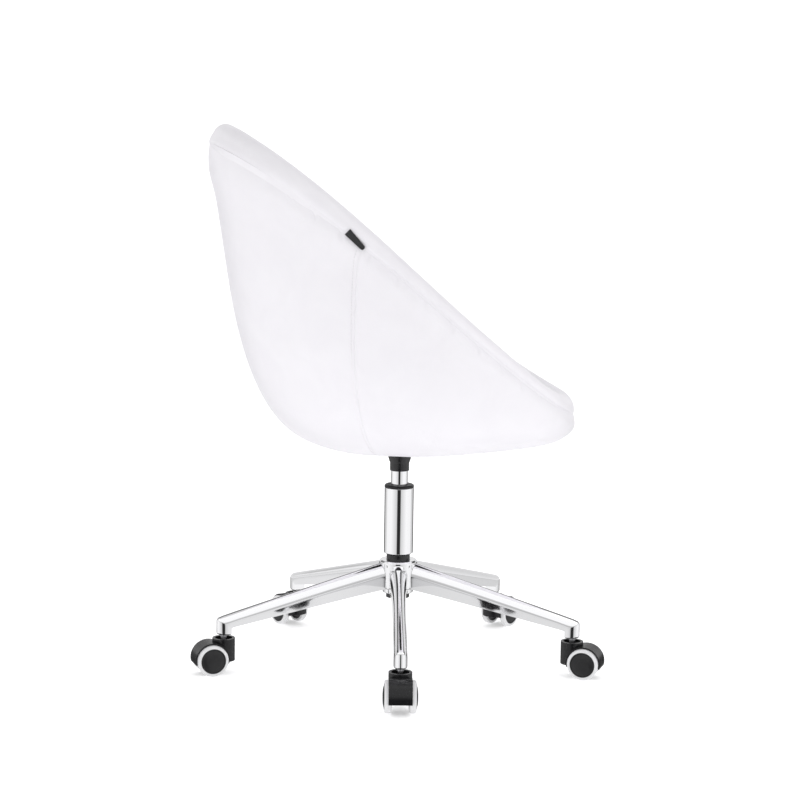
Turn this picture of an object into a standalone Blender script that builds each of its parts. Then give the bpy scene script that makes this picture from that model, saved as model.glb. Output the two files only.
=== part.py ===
"""A swivel tub chair: a round, padded bucket seat with a slanting rim, on a gas column, a
five-arm star base of pressed steel and twin-wheel swivel casters.

Metres, +Z up. The seat faces -Y. The origin is on the floor, under the middle of the chair's
box. Each sub-part is one object, and each moving group hangs on an empty on its joint's axis.
"""

import math

import bmesh
import bpy
from mathutils import Matrix, Vector

# ---------------------------------------------------------------- driving sizes

GAP = 0.0003  # between pieces that touch, and round a turning shaft
SHEET_GAP = 0.0005  # between the bucket's curved layers
SOFT_GAP = 0.0020  # round a soft pad

# casters, from the floor up
CASTERS = 5
WHEEL_RADIUS = 0.0255
TREAD_DEPTH = 0.0049
TREAD_INSIDE = 0.0134  # from the caster's middle plane to the tread's inner face
TREAD_WIDTH = 0.0114
TREAD_ROUND = 0.0015
CAP_DOME = 0.0028
TRAIL = 0.0228
WHEEL_SIDES = 20
AXLE_RADIUS = 0.0030
FENDER_CLEARANCE = 0.0008
FENDER_WALL = 0.0020
FENDER_DROP = 0.0066  # how far the fender reaches below the axle
HOOD_HALF_WIDTH = 0.0185
HOOD_TOP = 0.0586
HOOD_FOOT = 0.0215
HOOD_RECESS_RADIUS = 0.0140
HOOD_RECESS_DEPTH = 0.0060
HOOD_POCKET_RIB = 0.0022
HOOD_CHEEK = 0.0021
HOOD_SIDES = 24
STEM_RADIUS = 0.0050
STEM_FOOT = 0.0312
STEM_TOP = 0.0830

# star base
STEM_CIRCLE = 0.300  # radius of the circle that the caster stems stand on
BASE_TURN = math.radians(-4.7)  # how far the first arm is turned from -X
ARM_WALL = 0.0020
ARM_ROOT_HALF_WIDTH = 0.0155
ARM_WAIST = 0.120  # from the middle of the base to where the arm stops narrowing quickly
ARM_WAIST_HALF_WIDTH = 0.0116
ARM_TIP_HALF_WIDTH = 0.0110
ARM_FLAT = 0.42  # share of an arm's height with upright sides, at the hub
ARM_TIP_FLAT = 0.25
ARM_ROOT_TOP = 0.1680
ARM_ROOT_FOOT = 0.1250
ARM_TIP_TOP = 0.0925
ARM_TIP_KNEE = 0.0765  # inner corner, where the arm turns down
ARM_TIP_FOOT = 0.0645
ARM_TIP_OUTSIDE = 0.0120  # beyond the stem's axis
ARM_TIP_INSIDE = 0.0110
HUB_RADIUS = 0.0315
HUB_TOP = 0.1730
HUB_FOOT = 0.1260
HUB_SIDES = 36
COLLAR_RADIUS = 0.0255
COLLAR_FOOT = 0.1170

# gas column
COLUMN_RADIUS = 0.0245
COLUMN_WALL = 0.0020
COLUMN_SHOULDER = 0.1840
COLUMN_TOP = 0.2950
NECK_RADIUS = 0.0195
NECK_FOOT = 0.1090
COLUMN_FLOOR = 0.0030
BUSH_TOP = 0.3000
BUSH_FOOT = 0.2150
BEARING_HEIGHT = 0.0060
ROD_RADIUS = 0.0050
ROD_COLLAR_HEIGHT = 0.0040
ROD_TIP = 0.0020  # how far the rod stands out below the column
PISTON_HEIGHT = 0.0120
CYLINDER_RADIUS = 0.0140
CYLINDER_BORE = 0.0112
CYLINDER_FOOT = 0.1290
CYLINDER_TOP = 0.3475
CYLINDER_END_WALL = 0.0080
VALVE_WALL = 0.0180  # the cylinder's solid top, which holds the release pin
PIN_RADIUS = 0.0035
PIN_LENGTH = 0.0155
PIN_TOP = 0.3535
PIN_HOLE_DEPTH = 0.0135

# seat plate, socket and lever
SOCKET_FOOT = 0.3235
SOCKET_WAIST = 0.3370
SOCKET_RADIUS = 0.0160
SOCKET_MOUTH = 0.0235
SOCKET_CHAMBER = 0.0180
PLATE_SIDE = 0.150
PLATE_THICKNESS = 0.0025
PLATE_CORNER = 0.014
PLATE_FOOT = 0.3620
BOLT_SPACING = 0.112
BOLT_RADIUS = 0.0030
BOLT_HEAD_RADIUS = 0.0058
BOLT_HEAD_HEIGHT = 0.0032
BOLT_REACH = 0.0055  # into the shell's floor
LEVER_RADIUS = 0.0035
LEVER_HEIGHT = 0.3575
LEVER_PIVOT = 0.0220  # from the swivel axis
LEVER_INSIDE = 0.0240
LEVER_LENGTH = 0.172
LEVER_DROOP = math.radians(10.0)
GRIP_LENGTH = 0.062
GRIP_HALF_WIDTH = 0.0110
GRIP_HALF_HEIGHT = 0.0055

# bucket seat: heights are of the outer cover, radii are in plan
FLOOR_RADIUS = 0.101
RIM_RADIUS = 0.303
RIM_SHIFT = 0.0165  # the rim's circle stands this far behind the swivel axis
RIM_HEIGHT = 0.6565
RIM_SLANT = 0.2265
RIM_ARCH = 0.0077
RIM_BEND = 0.0077
ROLL_HALF_WIDTH = 0.0235
ROLL_HALF_HEIGHT = {"front": 0.0230, "side": 0.0190, "back": 0.0240}
SEAM_DROP = 0.0054  # of the cover's edge, under the middle of the rim roll
COVER_THICKNESS = 0.0025
SHELL_THICKNESS = 0.0055
LINER_FLOOR = 0.0240
LINER_CORNER = 0.170
SEAT_HEIGHT = 0.4560
SEAT_CROWN = 0.0080
PAD_ROUND = 0.018
AZIMUTHS = 30
SPLIT_ORDER = Vector((0.0001, 0.01, 1.0))  # low before high, then front before back
MERIDIAN_STEPS = 11

# how each meridian of the cover runs, at the front, the side and the back
FLOOR_HANDLE = {"front": 0.197, "side": 0.156, "back": 0.157}
FLOOR_RISE = {"front": 0.0225, "side": 0.0, "back": 0.0}
RIM_HANDLE = {"front": 0.046, "side": 0.100, "back": 0.253}
RIM_LEAN = {"front": math.radians(-8.0), "side": math.radians(6.3), "back": math.radians(8.8)}

# tag sewn into the rim seam on the sitter's right
TAG_LENGTH = 0.038
TAG_WIDTH = 0.0120
TAG_TIP_WIDTH = 0.0075
TAG_THICKNESS = 0.0010
TAG_AZIMUTH = math.radians(-106.2)
TAG_STAND_OFF = 0.0016
TAG_DROP = 0.007

PLATE_TOP = PLATE_FOOT + PLATE_THICKNESS
COVER_FOOT = PLATE_TOP + GAP
SHELL_INSET = COVER_THICKNESS + SHEET_GAP
LINER_INSET = SHELL_INSET + SHELL_THICKNESS + SHEET_GAP
TREAD_OUTSIDE = TREAD_INSIDE + TREAD_WIDTH
FENDER_RADIUS = WHEEL_RADIUS + FENDER_CLEARANCE + FENDER_WALL

# ---------------------------------------------------------------- scene and materials


def clear_scene():
    for item in list(bpy.data.objects):
        bpy.data.objects.remove(item, do_unlink=True)


def finish(name, colour, roughness, metallic=0.0):
    material = bpy.data.materials.new(name)
    material.use_nodes = True
    shader = material.node_tree.nodes["Principled BSDF"]
    shader.inputs["Base Color"].default_value = (*colour, 1.0)
    shader.inputs["Roughness"].default_value = roughness
    shader.inputs["Metallic"].default_value = metallic
    material.diffuse_color = (*colour, 1.0)
    return material


def empty(name, parent, place=(0.0, 0.0, 0.0), turn=0.0):
    item = bpy.data.objects.new(name, None)
    item.empty_display_size = 0.03
    bpy.context.scene.collection.objects.link(item)
    item.parent = parent
    item.location = place
    item.rotation_euler = (0.0, 0.0, turn)
    return item


def piece(name, mesh, material, parent, place=(0.0, 0.0, 0.0), turn=0.0):
    """One sub-part: an object with its own material, hung on its moving group's empty."""
    item = bpy.data.objects.new(name, mesh)
    bpy.context.scene.collection.objects.link(item)
    item.parent = parent
    item.location = place
    item.rotation_euler = (0.0, 0.0, turn)
    if not mesh.materials:
        mesh.materials.append(material)
    mesh.shade_smooth()
    mesh.set_sharp_from_angle(angle=math.radians(32.0))
    return item


# ---------------------------------------------------------------- shapes


def mesh_of(shape):
    """The bmesh as a mesh with its faces turned outwards."""
    bmesh.ops.recalc_face_normals(shape, faces=shape.faces)
    mesh = bpy.data.meshes.new("shape")
    shape.to_mesh(mesh)
    shape.free()
    return mesh


def lofted(rings, ends="caps"):
    """A skin over rings of points, where a ring of one point is a pole.

    Its ends are closed by caps, or are poles, or the last ring joins the first.
    """
    shape = bmesh.new()
    rows = [[shape.verts.new(point) for point in ring] for ring in rings]
    pairs = list(zip(rows, rows[1:]))
    if ends == "joined":
        pairs.append((rows[-1], rows[0]))
    for lower, upper in pairs:
        count = max(len(lower), len(upper))
        for i in range(count):
            j = (i + 1) % count
            corners = [lower[i % len(lower)], lower[j % len(lower)]]
            corners += [upper[j % len(upper)], upper[i % len(upper)]]
            corners = list(dict.fromkeys(corners))
            if ends == "nested" and len(corners) == 4:
                # Split each face from its lowest corner, so that nested layers bend alike.
                low = min(range(4), key=lambda k: corners[k].co.dot(SPLIT_ORDER))
                corners = corners[low:] + corners[:low]
                shape.faces.new(corners[:3])
                shape.faces.new([corners[0], *corners[2:]])
            else:
                shape.faces.new(corners)
    if ends == "caps":
        for row in (rows[0], rows[-1]):
            if len(row) > 2:
                shape.faces.new(row)
    return mesh_of(shape)


def turned(profile, sides, across_flats=False):
    """A round piece about Z from (radius, height) points.

    A profile that starts and ends on the axis makes a solid, and any other is a closed ring.
    """
    grow = 1.0 / math.cos(math.pi / sides) if across_flats else 1.0
    rings = []
    for radius, height in profile:
        if radius == 0.0:
            rings.append([Vector((0.0, 0.0, height))])
            continue
        angles = [(i + 0.5) * math.tau / sides for i in range(sides)]
        rings.append([polar(grow * radius, angle, height) for angle in angles])
    on_axis = profile[0][0] == 0.0 and profile[-1][0] == 0.0
    return lofted(rings, "poles" if on_axis else "joined")


def polar(radius, angle, height):
    return Vector((radius * math.cos(angle), radius * math.sin(angle), height))


def box(low, high):
    corners = [(low[0], low[1]), (high[0], low[1]), (high[0], high[1]), (low[0], high[1])]
    return lofted([[Vector((x, y, z)) for x, y in corners] for z in (low[2], high[2])])


def cylinder(radius, low, high, sides):
    return turned([(0.0, low), (radius, low), (radius, high), (0.0, high)], sides, True)


def moved(mesh, matrix):
    mesh.transform(matrix)
    return mesh


def crosswise(mesh):
    """The mesh with its Z axis laid along Y."""
    return moved(mesh, Matrix.Rotation(-math.pi / 2, 4, "X"))


def mirrored_pair(make):
    """What make builds for the +Y side, and the same turned half round Z for the -Y side."""
    flip = Matrix.Diagonal((1.0, -1.0, 1.0, 1.0))
    other = moved(make(), flip)
    other.flip_normals()
    return [make(), other]


def carved(blank, cutters=(), additions=()):
    """The mesh of the blank with the additions joined to it and the cutters taken out."""
    scene = bpy.context.scene.collection.objects
    work = bpy.data.objects.new("work", blank)
    scene.link(work)
    helpers = []
    for operation, meshes in (("UNION", additions), ("DIFFERENCE", cutters)):
        for mesh in meshes:
            helper = bpy.data.objects.new("helper", mesh)
            helper.hide_render = True
            helper.display_type = "WIRE"
            scene.link(helper)
            helpers.append(helper)
            modifier = work.modifiers.new(operation.lower(), "BOOLEAN")
            modifier.operation = operation
            modifier.object = helper
    graph = bpy.context.evaluated_depsgraph_get()
    result = bpy.data.meshes.new_from_object(work.evaluated_get(graph))
    for item in (work, *helpers):
        bpy.data.objects.remove(item, do_unlink=True)
    return result


def swept_rod(points, radius, sides):
    """A round rod through points of the XZ plane, mitred at each bend."""
    rings = []
    for i, point in enumerate(points):
        before = (point - points[i - 1]).normalized() if i else None
        after = (points[i + 1] - point).normalized() if i + 1 < len(points) else None
        along = ((before or after) + (after or before)).normalized()
        across = Vector((-along.z, 0.0, along.x))
        stretch = 1.0 / along.dot(after or before)
        ring = []
        for k in range(sides):
            angle = (k + 0.5) * math.tau / sides
            side = Vector((0.0, radius * math.cos(angle), 0.0))
            ring.append(point + side + across * (stretch * radius * math.sin(angle)))
        rings.append(ring)
    return lofted(rings)


# ---------------------------------------------------------------- casters


def hood_mesh():
    """The caster's moulded body: a boss for the stem, a mudguard over both wheels, and a
    hollow web between them that carries the axle."""
    web = TREAD_INSIDE - FENDER_WALL / 4
    at_axle = Matrix.Translation((TRAIL, 0.0, WHEEL_RADIUS))

    def disc(radius, low, high, sides):
        return moved(crosswise(cylinder(radius, low, high, sides)), at_axle)

    guard = carved(
        disc(FENDER_RADIUS, -HOOD_HALF_WIDTH, HOOD_HALF_WIDTH, HOOD_SIDES),
        [box((-0.1, -0.1, -0.1), (0.1, 0.1, WHEEL_RADIUS - FENDER_DROP))],
    )
    boss = cylinder(HOOD_HALF_WIDTH, HOOD_FOOT, HOOD_TOP, HOOD_SIDES)

    def wheel_room():
        return disc(WHEEL_RADIUS + FENDER_CLEARANCE, web, 2 * HOOD_HALF_WIDTH, HOOD_SIDES)

    def pocket():
        radius = WHEEL_RADIUS - FENDER_WALL
        wall = STEM_RADIUS + FENDER_WALL + 2 * GAP
        steps = 5
        start = math.radians(-25.0)
        end = math.acos((wall - TRAIL) / radius)
        outline = [(wall, -0.01), (TRAIL + radius * math.cos(start), -0.01)]
        for i in range(steps + 1):
            angle = start + (end - start) * i / steps
            outline.append((TRAIL + radius * math.cos(angle), WHEEL_RADIUS + radius * math.sin(angle)))
        sides = (HOOD_POCKET_RIB, web - HOOD_CHEEK)
        return lofted([[Vector((x, y, z)) for x, z in outline] for y in sides])

    body = carved(guard, mirrored_pair(wheel_room) + mirrored_pair(pocket), [boss])
    recess_floor = HOOD_TOP - HOOD_RECESS_DEPTH
    cuts = [
        disc(AXLE_RADIUS + GAP, -0.1, 0.1, 12),
        cylinder(HOOD_RECESS_RADIUS, recess_floor, 0.1, 16),
        cylinder(STEM_RADIUS + GAP, STEM_FOOT - GAP, 0.1, 12),
    ]
    axle_boss = disc(2 * AXLE_RADIUS, GAP - web, web - GAP, 12)
    return carved(body, cuts, [axle_boss])


def wheel_mesh():
    """One black wheel with its domed cap, about Y, from its inner face outwards."""
    rim = WHEEL_RADIUS - TREAD_DEPTH - GAP
    hole = AXLE_RADIUS + GAP
    hole_end = TREAD_OUTSIDE - 0.0018
    profile = [
        (0.0, hole_end),
        (hole, hole_end),
        (hole, TREAD_INSIDE),
        (rim, TREAD_INSIDE),
        (rim, TREAD_OUTSIDE),
        (0.85 * rim, TREAD_OUTSIDE + 0.6 * CAP_DOME),
        (0.0, TREAD_OUTSIDE + CAP_DOME),
    ]
    return crosswise(turned(profile, WHEEL_SIDES, True))


def tread_mesh():
    """The pale ring that rolls on the floor, with rounded shoulders."""
    inner = WHEEL_RADIUS - TREAD_DEPTH
    middle = TREAD_INSIDE + TREAD_WIDTH / 2
    half = TREAD_WIDTH / 2
    profile = [
        (inner, middle - half),
        (WHEEL_RADIUS - TREAD_ROUND, middle - half),
        (WHEEL_RADIUS, middle + TREAD_ROUND - half),
        (WHEEL_RADIUS, middle + half - TREAD_ROUND),
        (WHEEL_RADIUS - TREAD_ROUND, middle + half),
        (inner, middle + half),
    ]
    return crosswise(turned(profile, WHEEL_SIDES, True))


def stem_mesh():
    chamfer = 0.0008
    profile = [
        (0.0, STEM_FOOT),
        (STEM_RADIUS, STEM_FOOT),
        (STEM_RADIUS, STEM_TOP - chamfer),
        (STEM_RADIUS - chamfer, STEM_TOP),
        (0.0, STEM_TOP),
    ]
    return turned(profile, 12)


def build_casters(base, finishes):
    hood, wheel, tread, stem = hood_mesh(), wheel_mesh(), tread_mesh(), stem_mesh()
    axle_end = TREAD_OUTSIDE - 0.0018 - GAP
    axle = crosswise(turned([(0.0, -axle_end), (AXLE_RADIUS, -axle_end), (AXLE_RADIUS, axle_end), (0.0, axle_end)], 12))
    for k in range(CASTERS):
        angle = math.pi + k * math.tau / CASTERS
        foot = polar(STEM_CIRCLE, angle, 0.0)
        number = k + 1
        piece(f"caster_stem_{number}", stem, finishes["steel"], base, foot, angle)
        swivel = empty(f"caster_{number}_swivel_axis", base, foot, angle)
        piece(f"caster_hood_{number}", hood, finishes["black"], swivel)
        axle_place = (TRAIL, 0.0, WHEEL_RADIUS)
        piece(f"caster_axle_{number}", axle, finishes["steel"], swivel, axle_place)
        for side, turn in (("left", 0.0), ("right", math.pi)):
            piece(f"caster_wheel_{number}_{side}", wheel, finishes["black"], swivel, axle_place, turn)
            piece(f"caster_tread_{number}_{side}", tread, finishes["tread"], swivel, axle_place, turn)


# ---------------------------------------------------------------- star base


def arm_section(foot, top, half_width, flat):
    """Points round one section of an arm: flat sides up to the share called flat, then an arch."""
    steps = 6
    rise = top - foot
    ring = [foot + Vector((0.0, half_width, 0.0))]
    for i in range(steps + 1):
        angle = math.pi * i / steps
        height = flat + (1.0 - flat) * math.sin(angle)
        ring.append(foot + rise * height + Vector((0.0, half_width * math.cos(angle), 0.0)))
    ring.append(foot - Vector((0.0, half_width, 0.0)))
    return ring


def arm_mesh():
    """One arm: an inverted channel that narrows outwards and turns down into a stem socket."""
    outside = STEM_CIRCLE + ARM_TIP_OUTSIDE
    inside = STEM_CIRCLE - ARM_TIP_INSIDE
    root = 0.5 * HUB_RADIUS
    rim = 0.0030  # the rounded lower edge of the socket

    def between(x, start, end):
        """The value at x on the line from start to end, two (x, value) points."""
        return start[1] + (x - start[0]) / (end[0] - start[0]) * (end[1] - start[1])

    def section(x, flat, wall=0.0, extra=0.0):
        """The arm's section at x, with its sides and top moved in by a wall and its foot down."""
        foot = between(x, (HUB_RADIUS, ARM_ROOT_FOOT), (inside, ARM_TIP_KNEE)) - extra
        top = between(x, (HUB_RADIUS, ARM_ROOT_TOP), (outside, ARM_TIP_TOP)) - wall
        waist = (ARM_WAIST, ARM_WAIST_HALF_WIDTH)
        if x < ARM_WAIST:
            width = between(x, (HUB_RADIUS, ARM_ROOT_HALF_WIDTH), waist)
        else:
            width = between(x, waist, (outside, ARM_TIP_HALF_WIDTH))
        return arm_section(Vector((x, 0.0, foot)), Vector((x, 0.0, top)), width - wall, flat)

    def level(height, inset):
        """The socket's D-shaped section at a height."""
        foot = Vector((inside + inset / 2, 0.0, height))
        top = Vector((outside - inset, 0.0, height))
        return arm_section(foot, top, ARM_TIP_HALF_WIDTH - inset / 2, ARM_TIP_FLAT)

    knee = arm_section(
        Vector((inside, 0.0, ARM_TIP_KNEE)),
        Vector((outside, 0.0, ARM_TIP_TOP)),
        ARM_TIP_HALF_WIDTH,
        ARM_TIP_FLAT,
    )
    outer = [section(root, ARM_FLAT), section(ARM_WAIST, ARM_FLAT), knee]
    blank = lofted([*outer, level(ARM_TIP_FOOT + rim, 0.0), level(ARM_TIP_FOOT, rim)])
    stop = inside - 2 * ARM_WALL
    room = [section(x, ARM_FLAT, ARM_WALL, 0.02) for x in (root - 0.01, ARM_WAIST, stop)]
    hub_room = cylinder(HUB_RADIUS + GAP, 0.0, 0.3, HUB_SIDES)
    socket = cylinder(STEM_RADIUS + GAP, 0.0, STEM_TOP + GAP, 12)
    socket = moved(socket, Matrix.Translation((STEM_CIRCLE, 0.0, 0.0)))
    return carved(blank, [lofted(room), hub_room, socket])


def hub_mesh():
    """The drum that the arms are welded to, bored for the column's neck."""
    bore = NECK_RADIUS + GAP
    edge = 0.0015
    profile = [
        (bore, HUB_TOP),
        (bore, COLLAR_FOOT),
        (COLLAR_RADIUS - edge, COLLAR_FOOT),
        (COLLAR_RADIUS, COLLAR_FOOT + edge),
        (COLLAR_RADIUS, HUB_FOOT),
        (HUB_RADIUS - edge, HUB_FOOT),
        (HUB_RADIUS, HUB_FOOT + edge),
        (HUB_RADIUS, HUB_TOP - edge),
        (HUB_RADIUS - edge, HUB_TOP),
    ]
    return turned(profile, HUB_SIDES, True)


def build_base(base, finishes):
    piece("base_hub", hub_mesh(), finishes["chrome"], base)
    arm = arm_mesh()
    for k in range(CASTERS):
        piece(f"base_arm_{k + 1}", arm, finishes["chrome"], base, turn=math.pi + k * math.tau / CASTERS)


# ---------------------------------------------------------------- gas column


def build_column(base, seat, finishes):
    wall = COLUMN_WALL
    sides = 32
    floor_top = NECK_FOOT + COLUMN_FLOOR
    hole = ROD_RADIUS + GAP
    column = [
        (hole, NECK_FOOT),
        (NECK_RADIUS, NECK_FOOT),
        (NECK_RADIUS, COLUMN_SHOULDER - wall),
        (COLUMN_RADIUS, COLUMN_SHOULDER + wall / 2),
        (COLUMN_RADIUS, COLUMN_TOP),
        (COLUMN_RADIUS - wall, COLUMN_TOP),
        (COLUMN_RADIUS - wall, COLUMN_SHOULDER + wall),
        (NECK_RADIUS - wall, COLUMN_SHOULDER - wall),
        (NECK_RADIUS - wall, floor_top),
        (hole, floor_top),
    ]
    piece("lift_column", turned(column, sides), finishes["chrome"], base)

    flange = COLUMN_TOP + GAP
    bush_outside = COLUMN_RADIUS - wall - GAP
    bush_bore = CYLINDER_RADIUS + GAP
    round_over = 0.0015
    bush = [
        (bush_bore, BUSH_FOOT),
        (bush_outside, BUSH_FOOT),
        (bush_outside, flange),
        (COLUMN_RADIUS, flange),
        (COLUMN_RADIUS, BUSH_TOP - round_over),
        (COLUMN_RADIUS - round_over, BUSH_TOP),
        (bush_bore, BUSH_TOP),
    ]
    piece("column_bush", turned(bush, sides), finishes["black"], base)

    bearing_foot = floor_top + GAP
    bearing_top = bearing_foot + BEARING_HEIGHT
    bearing = [
        (ROD_RADIUS + 2 * GAP, bearing_foot),
        (NECK_RADIUS - wall - 4 * GAP, bearing_foot),
        (NECK_RADIUS - wall - 4 * GAP, bearing_top),
        (ROD_RADIUS + 2 * GAP, bearing_top),
    ]
    piece("thrust_bearing", turned(bearing, 24), finishes["steel"], base)

    spindle = empty("swivel_axis", base)
    collar_foot = bearing_top + GAP
    bore_top = CYLINDER_TOP - VALVE_WALL
    piston_top = bore_top - CYLINDER_END_WALL
    piston = CYLINDER_BORE - 2 * GAP
    rod = [
        (0.0, NECK_FOOT - ROD_TIP),
        (ROD_RADIUS, NECK_FOOT - ROD_TIP),
        (ROD_RADIUS, collar_foot),
        (2 * ROD_RADIUS, collar_foot),
        (2 * ROD_RADIUS, collar_foot + ROD_COLLAR_HEIGHT),
        (ROD_RADIUS, collar_foot + ROD_COLLAR_HEIGHT),
        (ROD_RADIUS, piston_top - PISTON_HEIGHT),
        (piston, piston_top - PISTON_HEIGHT),
        (piston, piston_top),
        (0.0, piston_top),
    ]
    piece("piston_rod", turned(rod, 20), finishes["steel"], spindle)

    shut = CYLINDER_FOOT + CYLINDER_END_WALL
    pin_hole = PIN_RADIUS + GAP
    cylinder_wall = [
        (0.0, CYLINDER_TOP - PIN_HOLE_DEPTH),
        (pin_hole, CYLINDER_TOP - PIN_HOLE_DEPTH),
        (pin_hole, CYLINDER_TOP),
        (CYLINDER_RADIUS - 0.001, CYLINDER_TOP),
        (CYLINDER_RADIUS, CYLINDER_TOP - 0.002),
        (CYLINDER_RADIUS, CYLINDER_FOOT),
        (ROD_RADIUS + GAP, CYLINDER_FOOT),
        (ROD_RADIUS + GAP, shut),
        (CYLINDER_BORE, shut),
        (CYLINDER_BORE, bore_top),
        (0.0, bore_top),
    ]
    piece("gas_cylinder", turned(cylinder_wall, 28), finishes["chrome"], seat)
    pin = [
        (0.0, PIN_TOP - PIN_LENGTH),
        (PIN_RADIUS, PIN_TOP - PIN_LENGTH),
        (PIN_RADIUS, PIN_TOP),
        (0.0, PIN_TOP),
    ]
    piece("release_pin", turned(pin, 12), finishes["steel"], empty("release_pin_axis", seat))


# ---------------------------------------------------------------- seat plate and lever


def bolt_places():
    half = BOLT_SPACING / 2
    return [Vector((x, y, 0.0)) for x in (-half, half) for y in (-half, half)]


def bolt_holes(low, high):
    """Cutters for the four plate bolts between two heights."""
    radius = BOLT_RADIUS + GAP
    return [moved(cylinder(radius, low, high, 12), Matrix.Translation(place)) for place in bolt_places()]


def socket_mesh():
    """The black cone under the plate: it grips the gas cylinder and holds the lever's inner end."""
    top = PLATE_FOOT - GAP
    bore = CYLINDER_RADIUS + GAP
    profile = [
        (bore, SOCKET_FOOT),
        (SOCKET_RADIUS, SOCKET_FOOT),
        (SOCKET_RADIUS, SOCKET_WAIST),
        (SOCKET_MOUTH, top),
        (SOCKET_CHAMBER, top),
        (SOCKET_CHAMBER, CYLINDER_TOP + 2 * GAP),
        (bore, CYLINDER_TOP + 2 * GAP),
    ]
    half = LEVER_RADIUS + 0.0008
    slot_foot = LEVER_HEIGHT - LEVER_RADIUS - 0.0035
    slot = box((SOCKET_CHAMBER - 0.005, -half, slot_foot), (SOCKET_MOUTH + 0.01, half, top + 0.01))
    return carved(turned(profile, 32), [slot])


def plate_mesh():
    shape = bmesh.new()
    bmesh.ops.create_cube(shape, size=1.0)
    bmesh.ops.scale(shape, vec=(PLATE_SIDE, PLATE_SIDE, PLATE_THICKNESS), verts=shape.verts)
    upright = [edge for edge in shape.edges if abs((edge.verts[0].co - edge.verts[1].co).z) > PLATE_THICKNESS / 2]
    bmesh.ops.bevel(shape, geom=upright, offset=PLATE_CORNER, segments=4, profile=0.5, affect="EDGES")
    bmesh.ops.translate(shape, vec=(0.0, 0.0, PLATE_FOOT + PLATE_THICKNESS / 2), verts=shape.verts)
    return carved(mesh_of(shape), bolt_holes(0.0, 1.0))


def bolt_mesh():
    head_top = PLATE_FOOT - GAP
    head_foot = head_top - BOLT_HEAD_HEIGHT
    tip = PLATE_TOP + BOLT_REACH
    edge = 0.0008
    profile = [
        (0.0, head_foot),
        (BOLT_HEAD_RADIUS - edge, head_foot),
        (BOLT_HEAD_RADIUS, head_foot + edge),
        (BOLT_HEAD_RADIUS, head_top),
        (BOLT_RADIUS, head_top),
        (BOLT_RADIUS, tip),
        (0.0, tip),
    ]
    return turned(profile, 12)


def lever_points():
    """The rod's points from the pivot, which is the lever group's own origin."""
    along = Vector((math.cos(LEVER_DROOP), 0.0, -math.sin(LEVER_DROOP)))
    return [Vector((-LEVER_INSIDE, 0.0, 0.0)), Vector((0.0, 0.0, 0.0)), along * LEVER_LENGTH]


def grip_mesh():
    """The moulded paddle on the lever's outer end."""
    along = lever_points()[2].normalized()
    across = Vector((-along.z, 0.0, along.x))
    sides = 14
    stations = ((0.0, 0.55), (0.12, 0.80), (0.5, 0.95), (0.86, 1.0), (1.0, 0.72))
    start = LEVER_LENGTH - 0.75 * GRIP_LENGTH
    rings = []
    for share, size in stations:
        centre = along * (start + share * GRIP_LENGTH)
        ring = []
        for i in range(sides):
            angle = (i + 0.5) * math.tau / sides
            side = Vector((0.0, size * GRIP_HALF_WIDTH * math.cos(angle), 0.0))
            ring.append(centre + side + across * (size * GRIP_HALF_HEIGHT * math.sin(angle)))
        rings.append(ring)
    room = swept_rod([along * (start - 0.01), along * (LEVER_LENGTH + GAP)], LEVER_RADIUS + GAP, 12)
    return carved(lofted(rings), [room])


def build_plate(seat, finishes):
    piece("plate_socket", socket_mesh(), finishes["black"], seat)
    piece("seat_plate", plate_mesh(), finishes["plate"], seat)
    bolt = bolt_mesh()
    for number, place in enumerate(bolt_places(), start=1):
        piece(f"plate_bolt_{number}", bolt, finishes["steel"], seat, place)
    pivot = empty("lever_axis", seat, (LEVER_PIVOT, 0.0, LEVER_HEIGHT))
    piece("lever_rod", swept_rod(lever_points(), LEVER_RADIUS, 12), finishes["steel"], pivot)
    piece("lever_grip", grip_mesh(), finishes["black"], pivot)


# ---------------------------------------------------------------- bucket seat


def blended(values, azimuth):
    """A value for this azimuth (0 is the front) from those at the front, the side and the back."""
    end = "front" if math.cos(azimuth) > 0.0 else "back"
    share = math.cos(azimuth) ** 2
    return share * values[end] + (1.0 - share) * values["side"]


def roll_height(azimuth):
    """Height of the rim roll's middle."""
    slant = RIM_SLANT * math.cos(azimuth)
    arch = RIM_ARCH * math.cos(2 * azimuth)
    return RIM_HEIGHT - slant - arch + RIM_BEND * math.cos(3 * azimuth)


def meridian(azimuth, inset):
    """(radius, height) points of the bowl from its flat floor to the rim seam.

    They are the cover's Bezier curve, moved square to itself by the inset.
    """
    lean = blended(RIM_LEAN, azimuth)
    seam = roll_height(azimuth) - SEAM_DROP
    start = Vector((FLOOR_RADIUS, COVER_FOOT))
    first = start + Vector((blended(FLOOR_HANDLE, azimuth), blended(FLOOR_RISE, azimuth)))
    end = Vector((RIM_RADIUS, seam))
    handle = min(blended(RIM_HANDLE, azimuth), seam - first.y)
    second = end - handle * Vector((math.sin(lean), math.cos(lean)))
    curve = []
    for i in range(MERIDIAN_STEPS + 1):
        t = i / MERIDIAN_STEPS
        s = 1.0 - t
        curve.append(s**3 * start + 3 * s * s * t * first + 3 * s * t * t * second + t**3 * end)
    runs = [Vector((1.0, 0.0))]
    runs += [(after - before).normalized() for before, after in zip(curve, curve[1:])]
    points = []
    for point, before, after in zip(curve, runs, runs[1:]):
        middle = (before + after).normalized()
        square = Vector((-middle.y, middle.x))
        points.append(point + square * (inset / middle.dot(after)))
    points.append(end - Vector((inset / runs[-1].y, 0.0)))
    return points


def seat_point(radius, height, azimuth):
    """A point of the seat. The bowl's centre moves back by RIM_SHIFT from its floor to its rim."""
    share = min(max((radius - FLOOR_RADIUS) / (RIM_RADIUS - FLOOR_RADIUS), 0.0), 1.0)
    forward = radius * math.cos(azimuth) - RIM_SHIFT * share
    return Vector((radius * math.sin(azimuth), -forward, height))


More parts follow.
